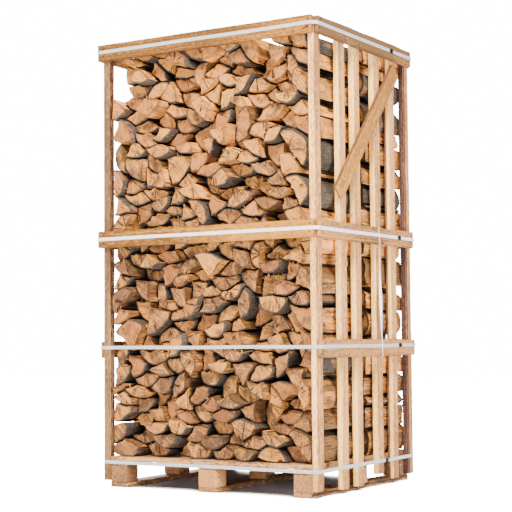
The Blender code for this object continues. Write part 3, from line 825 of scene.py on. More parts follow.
    def room_round(
        self, outlines: list[np.ndarray] | np.ndarray, reach: float = 0.024
    ) -> tuple[np.ndarray, np.ndarray, np.ndarray, np.ndarray]:
        """The outlines' points and outward normals, how far each point is from the next log, and
        that log's number, which is -1 where there is none near."""
        wide = int((self.right - self.left) / self.cell)
        tall = int((self.ceiling - self.floor) / self.cell)
        owner = np.zeros((tall, wide), int)
        columns, rows = np.meshgrid(np.arange(wide) + 0.5, np.arange(tall) + 0.5)
        x, z = self.left + columns * self.cell, self.floor + rows * self.cell
        for number, outline in enumerate(outlines):
            low, high = outline.min(0), outline.max(0)
            first_row, last_row = ((low[1], high[1]) - np.float64(self.floor)) / self.cell
            first, last = ((low[0], high[0]) - np.float64(self.left)) / self.cell
            near = np.s_[
                max(int(first_row), 0) : int(last_row) + 2, max(int(first), 0) : int(last) + 2
            ]
            start, end = outline, np.roll(outline, -1, 0)
            above = (start[:, 1] > z[near][..., None]) != (end[:, 1] > z[near][..., None])
            rise = np.where(end[:, 1] == start[:, 1], 1e-12, end[:, 1] - start[:, 1])
            slope = (end[:, 0] - start[:, 0]) / rise
            crossing = start[:, 0] + (z[near][..., None] - start[:, 1]) * slope
            inside = (above & (x[near][..., None] < crossing)).sum(-1) % 2 == 1
            owner[near][inside] = number + 1
        points = np.stack(outlines)
        normal = outline_normals(points)
        steps = np.arange(self.probe_step, reach, self.probe_step)
        probe = points[:, :, None] + normal[:, :, None] * steps[:, None]
        column = ((probe[..., 0] - self.left) / self.cell).astype(int)
        row = ((probe[..., 1] - self.floor) / self.cell).astype(int)
        outside = (column < 0) | (column >= wide) | (row < 0)
        found = owner[np.clip(row, 0, tall - 1), np.clip(column, 0, wide - 1)]
        own = np.arange(len(points))[:, None, None] + 1
        met = outside | ((found != 0) & (found != own))
        first = met.argmax(2)
        beside = np.take_along_axis(np.where(met & ~outside, found, 0), first[..., None], 2)
        return points, normal, np.where(met.any(2), steps[first], 0.0), beside[..., 0] - 1

    def settled(self, outlines: list[np.ndarray]) -> np.ndarray:
        """The same logs with their sides swelled half way into the small gaps between them."""
        for most in self.swells:
            points, normal, free, _ = self.room_round(outlines)
            swell = np.clip((free - self.log_room) / 2, 0, most)
            swell = (np.roll(swell, 1, 1) + 2 * swell + np.roll(swell, -1, 1)) / 4
            outlines = points + normal * swell[..., None]
        return outlines


def outline_normals(points: np.ndarray) -> np.ndarray:
    """Outward normals of closed anticlockwise outlines: the tangent turned clockwise."""
    tangent = np.roll(points, -1, 1) - np.roll(points, 1, 1)
    return unit(np.stack([tangent[..., 1], -tangent[..., 0]], -1))


@dataclass
class Firewood:
    """Both rows of split logs, joined into a few pieces by their height in the pile."""

    stack: Stack = field(default_factory=Stack)
    seeds: dict[Row, int] = field(default_factory=lambda: {Row.FRONT: 529, Row.REAR: 516})
    faces: dict[Row, float] = field(default_factory=lambda: {Row.FRONT: -0.48, Row.REAR: 0.470})
    joint: float = 0.022
    joint_gap: float = 0.012
    inner_depth: float = 0.085  # how far the inner ends may lie from the joint
    inner_spread: tuple[float, float] = (1.1, 2.4)  # shares of near and of far inner ends
    end_depth: tuple[float, float] = (0.002, 0.140)
    depth_spread: tuple[float, float] = (1.2, 2.0)  # shares of shallow and of deep ends
    near_wall: float = 0.02  # an end nearer than this to a side wall has only part of its depth
    wall_share: float = 0.4
    tiers: tuple[str, ...] = ("lower", "middle", "upper")
    stations: tuple[float, ...] = (
        0.0, 0.0014, 0.005, 0.012, 0.024, 0.042, 0.066, 0.096, 0.135, 0.185, 0.24, 0.30,
    )  # fmt: skip
    cap_scales: tuple[float, ...] = (0.92, 0.78, 0.6, 0.4, 0.2)
    soiled_depth: float = 0.03  # how far down the log from its sawn end the painted shade on its sides reaches
    inner_cap_scales: tuple[float, ...] = (0.55,)
    bark_thick: float = 0.0032
    least_joint: float = 0.003
    widest_joint: float = 0.14
    heart_point: int = 25
    bare_share: float = 0.18  # logs split from the inside of a round, or that lost their bark
    bare_at_wall: float = 0.45
    splintered_share: float = 0.3
    dust: float = 0.7  # painted shading by height: how much browner the logs below the height on the next line are, and paler those above it
    dust_top: float = 1.35
    dust_range: tuple[float, float] = (-0.7, 1)  # metres below that height that count, below zero above it
    tone_spread: float = 0.42
    saw_way: tuple[float, float] = (0.7, 0.5)  # mean and spread of the saw scores' angle
    texture_reach: float = 9.0  # how far apart the logs' patterns may start
    beyond_slab: float = 2.2  # how many half thicknesses off a slab its tree's heart lies
    drift: float = 0.004  # how far a log's inner end lies to one side
    bend: float = 0.0025
    waves: tuple[tuple[int, int, float], ...] = (  # most turns, most pitch and height
        (5, 4, 1.0), (5, 6, 1.0), (9, 5, 0.7), (14, 4, 0.6),
    )  # fmt: skip
    waves_inside: float = 1.6  # how many heights the waves lie inside the outline
    swings: tuple[float, float] = (0.0008, 0.0018)  # height of the waves of bark and split face
    calm_end: float = 0.02  # depth above which the waves are lower, down to least_calm of them
    least_calm: float = 0.7
    rounding: tuple[float, ...] = (0.0034, 0.0028, 0.0020, 0.0011, 0.0005)  # at the sawn end
    slant: float = 0.075
    steep_share: float = 0.10
    steeper: float = 1.8
    slant_room: float = 0.025  # depth below which an end slants less, down to least_slant of it
    least_slant: float = 0.35
    slant_reach: float = 0.11  # how far down a log its sides follow the slant of its end
    split_inset: float = 0.0008
    end_relief: float = 0.0007
    end_pitch: tuple[float, float] = (95, 71)  # radians to a metre, across and up
    sliver_long: tuple[float, float] = (0.008, 0.026)
    sliver_wide: tuple[float, float] = (0.0010, 0.0026)
    sliver_sunk: tuple[float, float] = (0.0008, 0.004)  # root below the side and behind the end
    sliver_lift: tuple[float, float] = (0.15, 0.9)  # how far it stands off the side
    sliver_lean: tuple[float, float] = (-0.2, 0.9)  # how far it leans out of the pile
    sliver_stray: float = 0.25
    sliver_roll: float = 0.3
    sliver_rings: tuple[tuple[float, float], ...] = ((0.0, 1.0), (0.55, 0.8))  # place and size
    sliver_tone: tuple[float, float] = (0.2, 0.6)
    most_slivers: int = 3  # of a splintered log, apart from the bursts
    bursts: int = 2  # of each piece, with how many slivers on how many points of the outline
    burst: tuple[int, int] = (14, 8)
    splinter_roots: list[tuple] = field(default_factory=list)

    def build(self, finishes: list[bpy.types.Material]) -> None:
        """Builds both rows.

        Args:
            finishes: Sawn end, split face and bark, in this order.
        """
        for row in Row:
            rng = np.random.default_rng(self.seeds[row])
            kinds, outlines = self.stack.pile(rng)
            points = self.stack.settled(outlines)
            low, high = self.end_depth
            depths = low + (high - low) * rng.beta(*self.depth_spread, len(points))
            at_wall = points[..., 0].min(1) < self.stack.left + self.near_wall
            at_wall |= points[..., 0].max(1) > self.stack.right - self.near_wall
            depths[at_wall] *= self.wall_share
            _, _, free, beside = self.stack.room_round(points, self.widest_joint)
            # Where each point's joint with the log beside it starts, for the painted shade in the
            # joints.
            shut = np.maximum(depths[:, None], np.where(beside < 0, np.inf, depths[beside]))
            joints = np.stack([shut, np.maximum(free, self.least_joint)], -1)
            centre = points.mean(1)
            order = np.argsort(centre[:, 1])
            for tier, members in zip(self.tiers, np.array_split(order, len(self.tiers))):
                piece = self.logs(
                    f"logs_{row.name.lower()}_{tier}",
                    row,
                    np.array(kinds)[members],
                    points[members],
                    depths[members],
                    joints[members],
                    rng,
                    finishes,
                )
                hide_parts(f"logs_{row.name.lower()}")
                LOG.info("%s: %d logs", piece.name, len(members))
        self.splinters(finishes)

    def logs(
        self,
        name: str,
        row: Row,
        kinds: np.ndarray,
        points: np.ndarray,
        depths: np.ndarray,
        joints: np.ndarray,
        rng: np.random.Generator,
        finishes: list[bpy.types.Material],
    ) -> bpy.types.Object:
        """Some logs as one mesh. A log is its outline carried along Y from its sawn end to the
        joint: outline * taper + drift + normal * ripple. Its end is the outline shrunk to a point
        in rings, on a plane with a slight slant.

        Args:
            name: Name of the piece.
            row: Row that the logs lie in.
            kinds: Kind of each log.
            points: Outline of each log.
            depths: How far each log's end lies behind the face of the pile.
            joints: For each point of an outline, how far behind the face the joint with the log
                beside it starts, and how wide that joint is.
            rng: Source of the random numbers.
            finishes: Sawn end, split face and bark.

        Returns:
            The piece.
        """
        count, girth = points.shape[:2]
        outward = row.value
        centre = points.mean(1, keepdims=True)
        normal = outline_normals(points)
        end_y = self.faces[row] - outward * depths
        recess = self.inner_depth * rng.beta(*self.inner_spread, count)
        inner_y = self.joint + outward * (self.joint_gap / 2 + recess)
        length = np.abs(end_y - inner_y)
        along = np.concatenate([np.tile(self.stations, (count, 1)), length[:, None]], 1)
        on_bark = np.arange(girth) < self.stack.bark_points

        part_way = (along / length[:, None])[..., None, None]
        shift = rng.normal(0, self.drift, (count, 1, 1, 2)) * part_way
        bend = rng.normal(0, self.bend, (count, 1, 1, 2)) * np.sin(np.pi * part_way)
        turn = np.arange(girth) / girth
        waves = np.zeros((count, along.shape[1], girth))
        for most_turns, most_pitch, height in self.waves:
            turns = rng.integers(1, most_turns + 1, (count, 1, 1))
            pitch = rng.uniform(-most_pitch, most_pitch, (count, 1, 1))
            phase = rng.uniform(0, TURN, (count, 1, 1))
            waves += height * np.sin(TURN * (turns * turn + pitch * along[..., None]) + phase)
        swing = np.where(on_bark, *self.swings)
        calm = np.clip(along / self.calm_end, self.least_calm, 1)[..., None]
        relief = (waves - self.waves_inside) * swing * calm
        relief[:, : len(self.rounding)] -= np.array(self.rounding)[:, None]
        sides = points[:, None] + normal[:, None] * relief[..., None] + shift + bend

        slant = rng.normal(0, self.slant, (count, 1, 2))
        slant[rng.random(count) < self.steep_share] *= self.steeper
        slant *= np.clip(depths / self.slant_room, self.least_slant, 1)[:, None, None]
        offset = ((points - centre) * slant).sum(-1)
        fade = np.clip(1 - along / self.slant_reach, 0, 1)[..., None]
        side_y = end_y[:, None, None] - outward * (along[..., None] + offset[:, None] * fade)

        def cap(station: int, scales: tuple[float, ...], slope: np.ndarray) -> list[np.ndarray]:
            """Rings of an end, shrunk to its middle, and their Y: the rim lies a bark's width
            inside the outline, and a ring is middle + (rim - middle) * scale."""
            edge = sides[:, station]
            rim = edge - normal * np.where(on_bark, self.bark_thick, self.split_inset)[:, None]
            middle = edge.mean(1, keepdims=True)
            sizes = np.array([1.0, *scales, 0.0])[:, None, None]
            rings = middle[:, None] + (rim - middle)[:, None] * sizes
            rise = ((rings - centre[:, None]) * slope[:, None]).sum(-1)
            rise += self.end_relief * np.sin((rings * self.end_pitch).sum(-1))
            level = end_y[:, None, None] - outward * (along[:, station, None, None] + rise)
            return [rings, level]

        caps = [
            cap(0, self.cap_scales, slant),
            cap(-1, self.inner_cap_scales, np.zeros_like(slant)),
        ]
        flat, depth = [sides.reshape(count, -1, 2)], [side_y.reshape(count, -1)]
        shut, width = joints[:, None, :, 0], joints[:, None, :, 1]
        # Painted shade in the joints: how many joint widths a place on a side lies past the start
        # of its joint.
        inward = outward * (self.faces[row] - side_y)
        deep = np.where(np.isfinite(shut), (inward - np.minimum(shut, 1)) / width, -1.0)
        joint_shade = [deep.reshape(count, -1)]
        # Painted shade on the sides, fading from the sawn end down the log.
        near = np.clip(1 - along / self.soiled_depth, 0, 1)[..., None]
        edge = [np.broadcast_to(near, side_y.shape).reshape(count, -1)]
        rows = along.shape[1]
        bark_edge = np.arange(girth) < self.stack.bark_points - 1
        end, split, bark = 0, 1, 2
        quads = [tube(rows, girth)[:, [0, 3, 2, 1]]]
        slots = [np.tile(np.where(bark_edge, bark, split), rows - 1)]
        fans, start = [], rows * girth
        for last, (rings, level) in enumerate(caps):
            hoops = rings.shape[1] - 1
            # The end's outer ring gets the painted rim shade, and no joint shade.
            at_rim = np.arange(hoops * girth + 1) < girth
            edge.append(np.broadcast_to(at_rim, (count, len(at_rim))))
            joint_shade.append(np.full((count, len(at_rim)), -1.0))
            flat += [rings[:, :-1].reshape(count, -1, 2), rings[:, -1, :1]]
            depth += [level[:, :-1].reshape(count, -1), level[:, -1, :1]]
            hub = start + hoops * girth
            rim_belt = belt((rows - 1) * girth * last, start, girth)
            own_quads = [rim_belt, start + tube(hoops, girth)]
            way = -1 if last else 1
            quads += [faces[:, ::way] for faces in own_quads]
            slots += [np.where(bark_edge, bark, end), np.full(len(own_quads[1]), end)]
            fans.append(fan(hub - girth, girth, hub)[:, ::way])
            start = hub + 1
        places = np.concatenate(flat, 1)
        vertices = np.stack([places[..., 0], np.concatenate(depth, 1), places[..., 1]], -1)
        all_quads, all_fans = np.concatenate(quads), np.concatenate(fans)
        if outward > 0:
            all_quads, all_fans = all_quads[:, ::-1], all_fans[:, ::-1]
        quad_slots = np.tile(np.concatenate(slots), (count, 1))
        at_wall = points[..., 0].max(1) > self.stack.right - self.near_wall
        bare = rng.random(count) < np.where(at_wall, self.bare_at_wall, self.bare_share)
        quad_slots[bare] = np.where(quad_slots[bare] == bark, split, quad_slots[bare])
        face_slots = np.concatenate([quad_slots.ravel(), np.full(count * len(all_fans), end)])

        heart = points[:, self.heart_point]
        bark_middle = points[:, self.stack.bark_points // 2]
        beyond = centre[:, 0] - self.beyond_slab * (bark_middle - centre[:, 0])
        heart = np.where((kinds == "slab")[:, None], beyond, heart)
        in_log = vertices.copy()
        in_log[..., 0] -= heart[:, :1]
        in_log[..., 2] -= heart[:, 1:]
        reach = self.texture_reach
        in_log[..., 1] += rng.uniform(-reach, reach, (count, 1))
        way = rng.normal(*self.saw_way, (count, 1))
        across = in_log[..., 0] * np.cos(way) + in_log[..., 2] * np.sin(way)
        down = in_log[..., 2] * np.cos(way) - in_log[..., 0] * np.sin(way)
        sheet = np.broadcast_to(rng.uniform(-reach, reach, (count, 1)), down.shape)
        cut = np.stack([across, sheet, down], -1)
        # Painted shading by height: a darker tone low in the pile, a paler one high in it.
        dusty_and_shaded = np.clip(self.dust_top - centre[:, 0, 1], *self.dust_range) * self.dust
        own = rng.normal(0, self.tone_spread, count)
        tone = np.stack([own + dusty_and_shaded, rng.random(count), rng.random(count)], 1)
        tone = np.broadcast_to(tone[:, None], vertices.shape)
        shape = copies(vertices, all_quads, all_fans)
        attributes = {
            "in_log": in_log.reshape(-1, 3),
            "cut": cut.reshape(-1, 3),
            "tone": tone.reshape(-1, 3),
            "edge": np.concatenate(edge, 1).ravel(),
            "joint_shade": np.concatenate(joint_shade, 1).ravel(),
        }
        piece = put_mesh(name, shape, finishes, attributes, face_slots)
        self.splinter_roots.append((sides[:, 0], side_y[:, 0], normal, outward, rng))
        return piece

    def splinters(self, finishes: list[bpy.types.Material]) -> None:
        """Slivers torn up along the split faces at the logs' ends: root + way * length * share,
        four-sided at the root and narrowing to a point.

        Args:
            finishes: Sawn end, split face and bark.
        """
        first = self.stack.bark_points + 1
        for number, (edge, edge_y, normal, outward, rng) in enumerate(self.splinter_roots):
            count, girth = edge_y.shape
            roots = []
            for log in np.flatnonzero(rng.random(count) < self.splintered_share):
                spots = rng.integers(first, girth - 1, rng.integers(1, self.most_slivers + 1))
                roots += [(log, spot) for spot in spots]
            slivers, spread = self.burst
            for log in rng.integers(0, count, self.bursts):
                roots += [(log, spot) for spot in rng.integers(first, first + spread, slivers)]
            log, spot = np.array(roots).T
            amount = len(log)
            out = normal[log, spot]
            inset, behind = self.sliver_sunk
            base = edge[log, spot] - out * inset
            root = np.stack([base[:, 0], edge_y[log, spot] - outward * behind, base[:, 1]], -1)
            lift = rng.uniform(*self.sliver_lift, amount)[:, None]
            way = np.stack([out[:, 0], np.full(amount, 0.0), out[:, 1]], -1) * lift
            way += rng.normal(0, self.sliver_stray, (amount, 3))
            way[:, 1] += outward * rng.uniform(*self.sliver_lean, amount)
            way = unit(way)
            long = rng.uniform(*self.sliver_long, amount)[:, None]
            across = unit(np.cross(way, [0.0, outward, self.sliver_roll]))
            thin = np.cross(way, across)
            wide = rng.uniform(*self.sliver_wide, amount)[:, None]
            corners = [(-1, -0.5), (1, -0.5), (1, 0.5), (-1, 0.5)]
            rings = [
                root + way * long * share + across * wide * a * size + thin * wide * b * size
                for share, size in self.sliver_rings
                for a, b in corners
            ]
            vertices = np.stack([*rings, root + way * long], 1)
            quads = np.concatenate([belt(0, 4, 4), [[3, 2, 1, 0]]])
            shape = copies(vertices, quads, fan(4, 4, 8))
            reach = self.texture_reach
            in_log = vertices + rng.uniform(-reach, reach, (amount, 1, 3))
            tone = np.zeros(vertices.shape)
            tone[..., 0] = rng.normal(*self.sliver_tone, (amount, 1))
            attributes = {"in_log": in_log.reshape(-1, 3), "tone": tone.reshape(-1, 3)}
            piece = put_mesh(f"splinters_{number + 1}", shape, [finishes[1]], attributes)
            LOG.info("%s: %d slivers", piece.name, amount)


# ---------------------------------------------------------------- boards


class Lie(Enum):
    """How a board lies: world axes of its width, its thickness and its length, in this order."""

    RAIL_ACROSS = (2, 1, 0)
    RAIL_DEEP = (2, 0, 1)
    UPRIGHT = (1, 0, 2)
    DECK = (1, 2, 0)
    RUNNER = (0, 2, 1)


@dataclass
class Strip:
    """Part of a board's face that has its own finish, such as a side with bark left on it."""

    axis: int  # the board's own axis that the face looks along
    sign: int
    finish: bpy.types.Material
    span: tuple[float, float] = (0.0, 1.0)  # part of the face's width, from its low side


@dataclass
class Board:
    """One rough-sawn board: a rectangle with eased corners carried along its length."""

    name: str
    size: tuple[float, float, float]  # width, thickness, length
    place: Matrix
    finish: bpy.types.Material
    slot: str
    seed: int
    end_finish: bpy.types.Material | None = None
    strips: tuple[Strip, ...] = ()
    edge: float = 0.0022
    end_round: float = 0.003
    end_stations: tuple[float, ...] = (0.0, 0.15, 0.5, 1.0)  # as parts of end_round
    top_wane: float = 0.0
    shade: float = 0.0  # how much darker or, below zero, paler than its wood
    shade_run: float = 0.0  # how much darker it gets from its middle to its low end
    soiled_foot: float = 0.0  # how much darker its part below foot_top is
    foot_top: float = 0.125
    foot_fade: float = 0.03
    tone_spread: float = 0.5
    station_gap: float = 0.035
    wide_steps: int = 8
    thin_steps: int = 5
    corner_steps: int = 3
    rub: float = 0.0003  # how deep the saw's marks, the nicks in its corners and all wear are
    nick: float = 0.0012
    rub_waves: tuple[float, float] = (0.12, 0.08)  # shortest waves of it along and across
    nick_waves: tuple[float, float] = (0.05, 0.05)
    most_wear: float = 0.004
    wane_wave: float = 0.25
    most_wane: float = 1.5
    wane_power: int = 8  # how closely the wane keeps to the board's edge
    facing: float = 1.8  # least sum of two neighbouring ways, of 2, on a strip's side
    heart_side: float = 0.06  # how far from the board the heart of its tree lies
    heart_under: tuple[float, float] = (0.03, 0.11)
    texture_reach: float = 20.0  # how far apart the boards' patterns may start

    def rim(self) -> tuple[np.ndarray, np.ndarray, np.ndarray]:
        """Points of the rectangle with eased corners, their outward directions, and whether each
        lies on a corner: corner centre + radius * (cos, sin), then points along the next side."""
        half = np.array(self.size[:2]) / 2 - self.edge
        corners = np.array([(1, -1), (1, 1), (-1, 1), (-1, -1)])
        starts = np.array([-90.0, 0.0, 90.0, 180.0])
        points, ways, eased = [], [], []
        for number, (corner, start) in enumerate(zip(corners, starts)):
            angle = np.radians(start + np.linspace(0, 90, self.corner_steps + 1))
            way = compass(angle)
            arc = corner * half + self.edge * way
            following = corners[(number + 1) % 4] * half + self.edge * way[-1]
            steps = self.wide_steps if number % 2 else self.thin_steps
            share = np.linspace(0, 1, steps + 1)[1:-1, None]
            line = arc[-1] + (following - arc[-1]) * share
            points += [arc, line]
            ways += [way, np.repeat(way[-1:], len(line), 0)]
            eased += [np.ones(len(arc)), np.zeros(len(line))]
        return np.concatenate(points), np.concatenate(ways), np.concatenate(eased)

    def build(self) -> bpy.types.Object:
        """Builds the board: rim * (1 - end rounding) - way * wear, along a row of stations.

        Returns:
            The piece.
        """
        rng = np.random.default_rng(self.seed)
        rim, ways, at_corner = self.rim()
        long = self.size[2]
        inner = np.linspace(0, long, max(int(long / self.station_gap), 3) + 1)[1:-1]
        near = self.end_round * np.array(self.end_stations)
        along = np.concatenate([near, inner[(inner > near[-1]) & (inner < long - near[-1])]])
        along = np.concatenate([along, (long - near)[::-1]])
        to_end = np.minimum(along, long - along)
        short = np.clip(self.end_round - to_end, 0, None)
        inset = self.end_round - np.sqrt(self.end_round**2 - short**2)
        station = along[:, None]
        rub, nick = (
            ripple(rng, (station, down), (rim[None, :, 0], across), (rim[None, :, 1], across))
            for down, across in (self.rub_waves, self.nick_waves)
        )
        wear = self.rub * (1 + rub) + at_corner * np.clip(nick - 0.5, 0, 2) * self.nick
        wear = np.clip(wear, 0, self.most_wear)
        half = np.array(self.size[:2]) / 2
        shrink = 1 - inset[:, None, None] / half
        section = rim * shrink - ways * wear[..., None]
        wane = ripple(rng, (station, self.wane_wave), (station * 0 + 1, 1.0))
        lost = self.top_wane * np.clip(wane, 0, self.most_wane)
        section[..., 0] -= lost * np.clip(section[..., 0] / half[0], 0, 1) ** self.wane_power
        local = np.concatenate(
            [section, np.broadcast_to(station[..., None] - long / 2, (*wear.shape, 1))], -1
        )
        girth = len(rim)
        caps = np.stack([local[0] * [0.5, 0.5, 1], local[-1] * [0.5, 0.5, 1]])
        hubs = np.array([[0, 0, -long / 2], [0, 0, long / 2]])
        flat = np.concatenate([local.reshape(-1, 3), caps.reshape(-1, 3), hubs])
        rows = len(along)
        low_cap, high_cap, hub = rows * girth, (rows + 1) * girth, (rows + 2) * girth
        ends = [turned(belt(0, low_cap, girth)), belt((rows - 1) * girth, high_cap, girth)]
        quads = np.concatenate([tube(rows, girth), *ends])
        fans = np.concatenate([turned(fan(low_cap, girth, hub)), fan(high_cap, girth, hub + 1)])
        if self.place.determinant() < 0:
            quads, fans = quads[:, ::-1], fans[:, ::-1]
        finishes = [self.finish, self.end_finish or self.finish]
        slots = np.ones(len(quads) + len(fans), int)
        middle = (rim + np.roll(rim, -1, 0)) / 2
        face = np.zeros(girth, int)
        for number, strip in enumerate(self.strips):
            finishes.append(strip.finish)
            looks = strip.sign * (ways + np.roll(ways, -1, 0))[:, strip.axis] > self.facing
            across = middle[:, 1 - strip.axis] / (2 * half[1 - strip.axis]) + 0.5
            within = (across >= strip.span[0]) & (across <= strip.span[1])
            face[looks & within] = number + 2
        slots[: (rows - 1) * girth] = np.tile(face, rows - 1)
        place = np.array(self.place)
        vertices = flat @ place[:3, :3].T + place[:3, 3]
        aside = rng.uniform(-self.heart_side, self.heart_side)
        under = rng.uniform(*self.heart_under) * rng.choice([-1, 1])
        grain = flat + [aside, under, rng.uniform(-self.texture_reach, self.texture_reach)]
        low_part = np.clip((self.foot_top - vertices[:, 2]) / self.foot_fade, 0, 1)
        tone = rng.normal(0, self.tone_spread) + self.shade + self.soiled_foot * low_part
        tone = tone - self.shade_run * 2 / long * flat[:, 2]
        edges = np.concatenate([np.tile(at_corner, rows), np.zeros(2 * girth + 2)])
        shape = (vertices, quads, fans)
        attributes = {"grain": grain, "tone": tone, "edge": edges}
        piece = put_mesh(self.name + "_sawn", shape, finishes, attributes, slots, sharp=50.0)
        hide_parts(self.name)
        return piece


@dataclass
class Crate:
    """All boards: the pallet's skids, blocks, stringers and deck, the posts, slats and rails, and
    the brace. Each but the brace takes its place from its node of the frame; the brace's place is
    given here."""

    brace_size: tuple[float, float, float] = (0.078, 0.0197, 0.884)
    brace_centre: tuple[float, float, float] = (0.59015, 0.0105, 1.664)
    brace_angle: float = 47.4
    far_round: float = 0.009
    rail_wane: float = 0.004
    foot_soil: float = 1.3
    brace_run: float = -0.9
    brace_round: float = 0.008
    brace_seed: int = 399
    first_seed: int = 400  # of the other boards, each of which has the next one
    runs: dict[str, float] = field(
        default_factory=lambda: {"rail_top_front": 0.5, "rail_middle_front": 1.0}
    )
    shades: dict[str, float] = field(
        default_factory=lambda: {
            "rail_top_front": 0.8,
            "rail_middle_front": 0.1,
            "rail_top_right": 1.3,
            "rail_top_left": 0.8,
            "slat_right_1": -0.5,
            "slat_right_2": -0.6,
            "slat_right_3": 0.3,
            "slat_right_4": -0.3,
            # Painted shade on the front deck board.
            "deck_board_1": 0.8,
            "block_left_front": 0.7,
            "block_middle_front": -0.4,
            "block_right_front": -0.3,
        }
    )

    def lying(self, node: str, lie: Lie) -> tuple[tuple[float, float, float], Matrix]:
        """Size of a node's board in its own axes, and the matrix that lays it in place."""
        low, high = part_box(node)
        size = high - low
        turn = np.zeros((3, 3))
        for own, world in enumerate(lie.value):
            turn[world, own] = 1.0
        place = Matrix([[*map(float, line)] for line in turn]).to_4x4()
        place.translation = (low + high) / 2
        return tuple(size[axis] for axis in lie.value), place

    def build(self) -> None:
        """Builds every board."""
        woods = {wood: wood.value.build() for wood in Wood}
        sides, ends = ("left", "right"), ("front", "rear")
        lines = ("left", "middle", "right")
        rail = (Wood.RAIL, Wood.RAIL_END, "rail")
        side_rail = (Wood.RAIL_SIDE, Wood.RAIL_END, "rail")
        upright = (Wood.POST, Wood.POST_FRONT, "post")
        pallet = (Wood.PALLET, Wood.PALLET_END, "pallet")
        plan: list[tuple[str, Lie, tuple[Wood, Wood, str]]] = []
        for level in ("top", "middle"):
            plan += [(f"rail_{level}_{end}", Lie.RAIL_ACROSS, rail) for end in ends]
        for level in ("top", "middle", "lower"):
            plan += [(f"rail_{level}_{side}", Lie.RAIL_DEEP, side_rail) for side in sides]
        for side in sides:
            plan += [(f"post_{side}_{end}", Lie.UPRIGHT, upright) for end in ends]
            plan += [(f"slat_{side}_{i}", Lie.UPRIGHT, upright) for i in range(1, 5)]
        for line in lines:
            plan += [(f"{part}_{line}", Lie.RUNNER, pallet) for part in ("skid", "stringer")]
            plan += [
                (f"block_{line}_{place}", Lie.RUNNER, pallet)
                for place in ("front", "centre", "rear")
            ]
        plan += [(f"deck_board_{i}", Lie.DECK, pallet) for i in range(1, 7)]
        front = Strip(0, -1, woods[Wood.SLAT_FRONT])
        rear = Strip(0, 1, woods[Wood.POST_FRONT])
        strips = {
            "post_right_rear": (
                Strip(0, -1, woods[Wood.BARK_SIDE]),
                Strip(1, 1, woods[Wood.BARK_SIDE], (0.0, 0.3)),
                rear,
            ),
            "post_left_rear": (Strip(0, -1, woods[Wood.BARK_SIDE]), rear),
            "post_left_front": (
                Strip(0, -1, woods[Wood.POST_LEFT]), Strip(1, 1, woods[Wood.POST_INNER]), rear
            ),
            "post_right_front": (Strip(0, -1, woods[Wood.POST_FRONT]), rear),
            "slat_right_4": (front, Strip(0, -1, woods[Wood.WANE], (0.0, 0.38)), rear),
            "slat_left_2": (front, Strip(0, -1, woods[Wood.WANE], (0.7, 1.0)), rear),
            "skid_right": (Strip(0, 1, woods[Wood.BARK_SIDE], (0.45, 1.0)),),
        }
        for number, (node, lie, (wood, end, slot)) in enumerate(plan):
            size, place = self.lying(node, lie)
            seed = self.first_seed + number
            board = Board(node, size, place, woods[wood], slot, seed, end_finish=woods[end])
            board.shade = self.shades.get(node, 0.0)
            board.shade_run = self.runs.get(node, 0.0)
            board.strips = strips.get(node, (front, rear) if lie is Lie.UPRIGHT else ())
            if lie is Lie.UPRIGHT:
                board.soiled_foot = self.foot_soil
            if lie is Lie.RAIL_DEEP:
                board.end_round = self.far_round
                board.top_wane = self.rail_wane
            board.build()
            LOG.info("%s", board.name)
        turn = Matrix.Rotation(math.radians(self.brace_angle), 4, "X")
        frame = Matrix(((0, 1, 0, 0), (0, 0, 1, 0), (1, 0, 0, 0), (0, 0, 0, 1)))
        place = Matrix.Translation(self.brace_centre) @ turn @ frame
        edge = woods[Wood.BRACE_EDGE]
        Board(
            "brace_right",
            self.brace_size,
            place,
            woods[Wood.BRACE],
            "brace",
            self.brace_seed,
            end_finish=edge,
            strips=(Strip(0, 1, edge), Strip(0, -1, edge)),
            end_round=self.brace_round,
            shade_run=self.brace_run,
        ).build()
        LOG.info("brace_right")


# ---------------------------------------------------------------- straps and nails


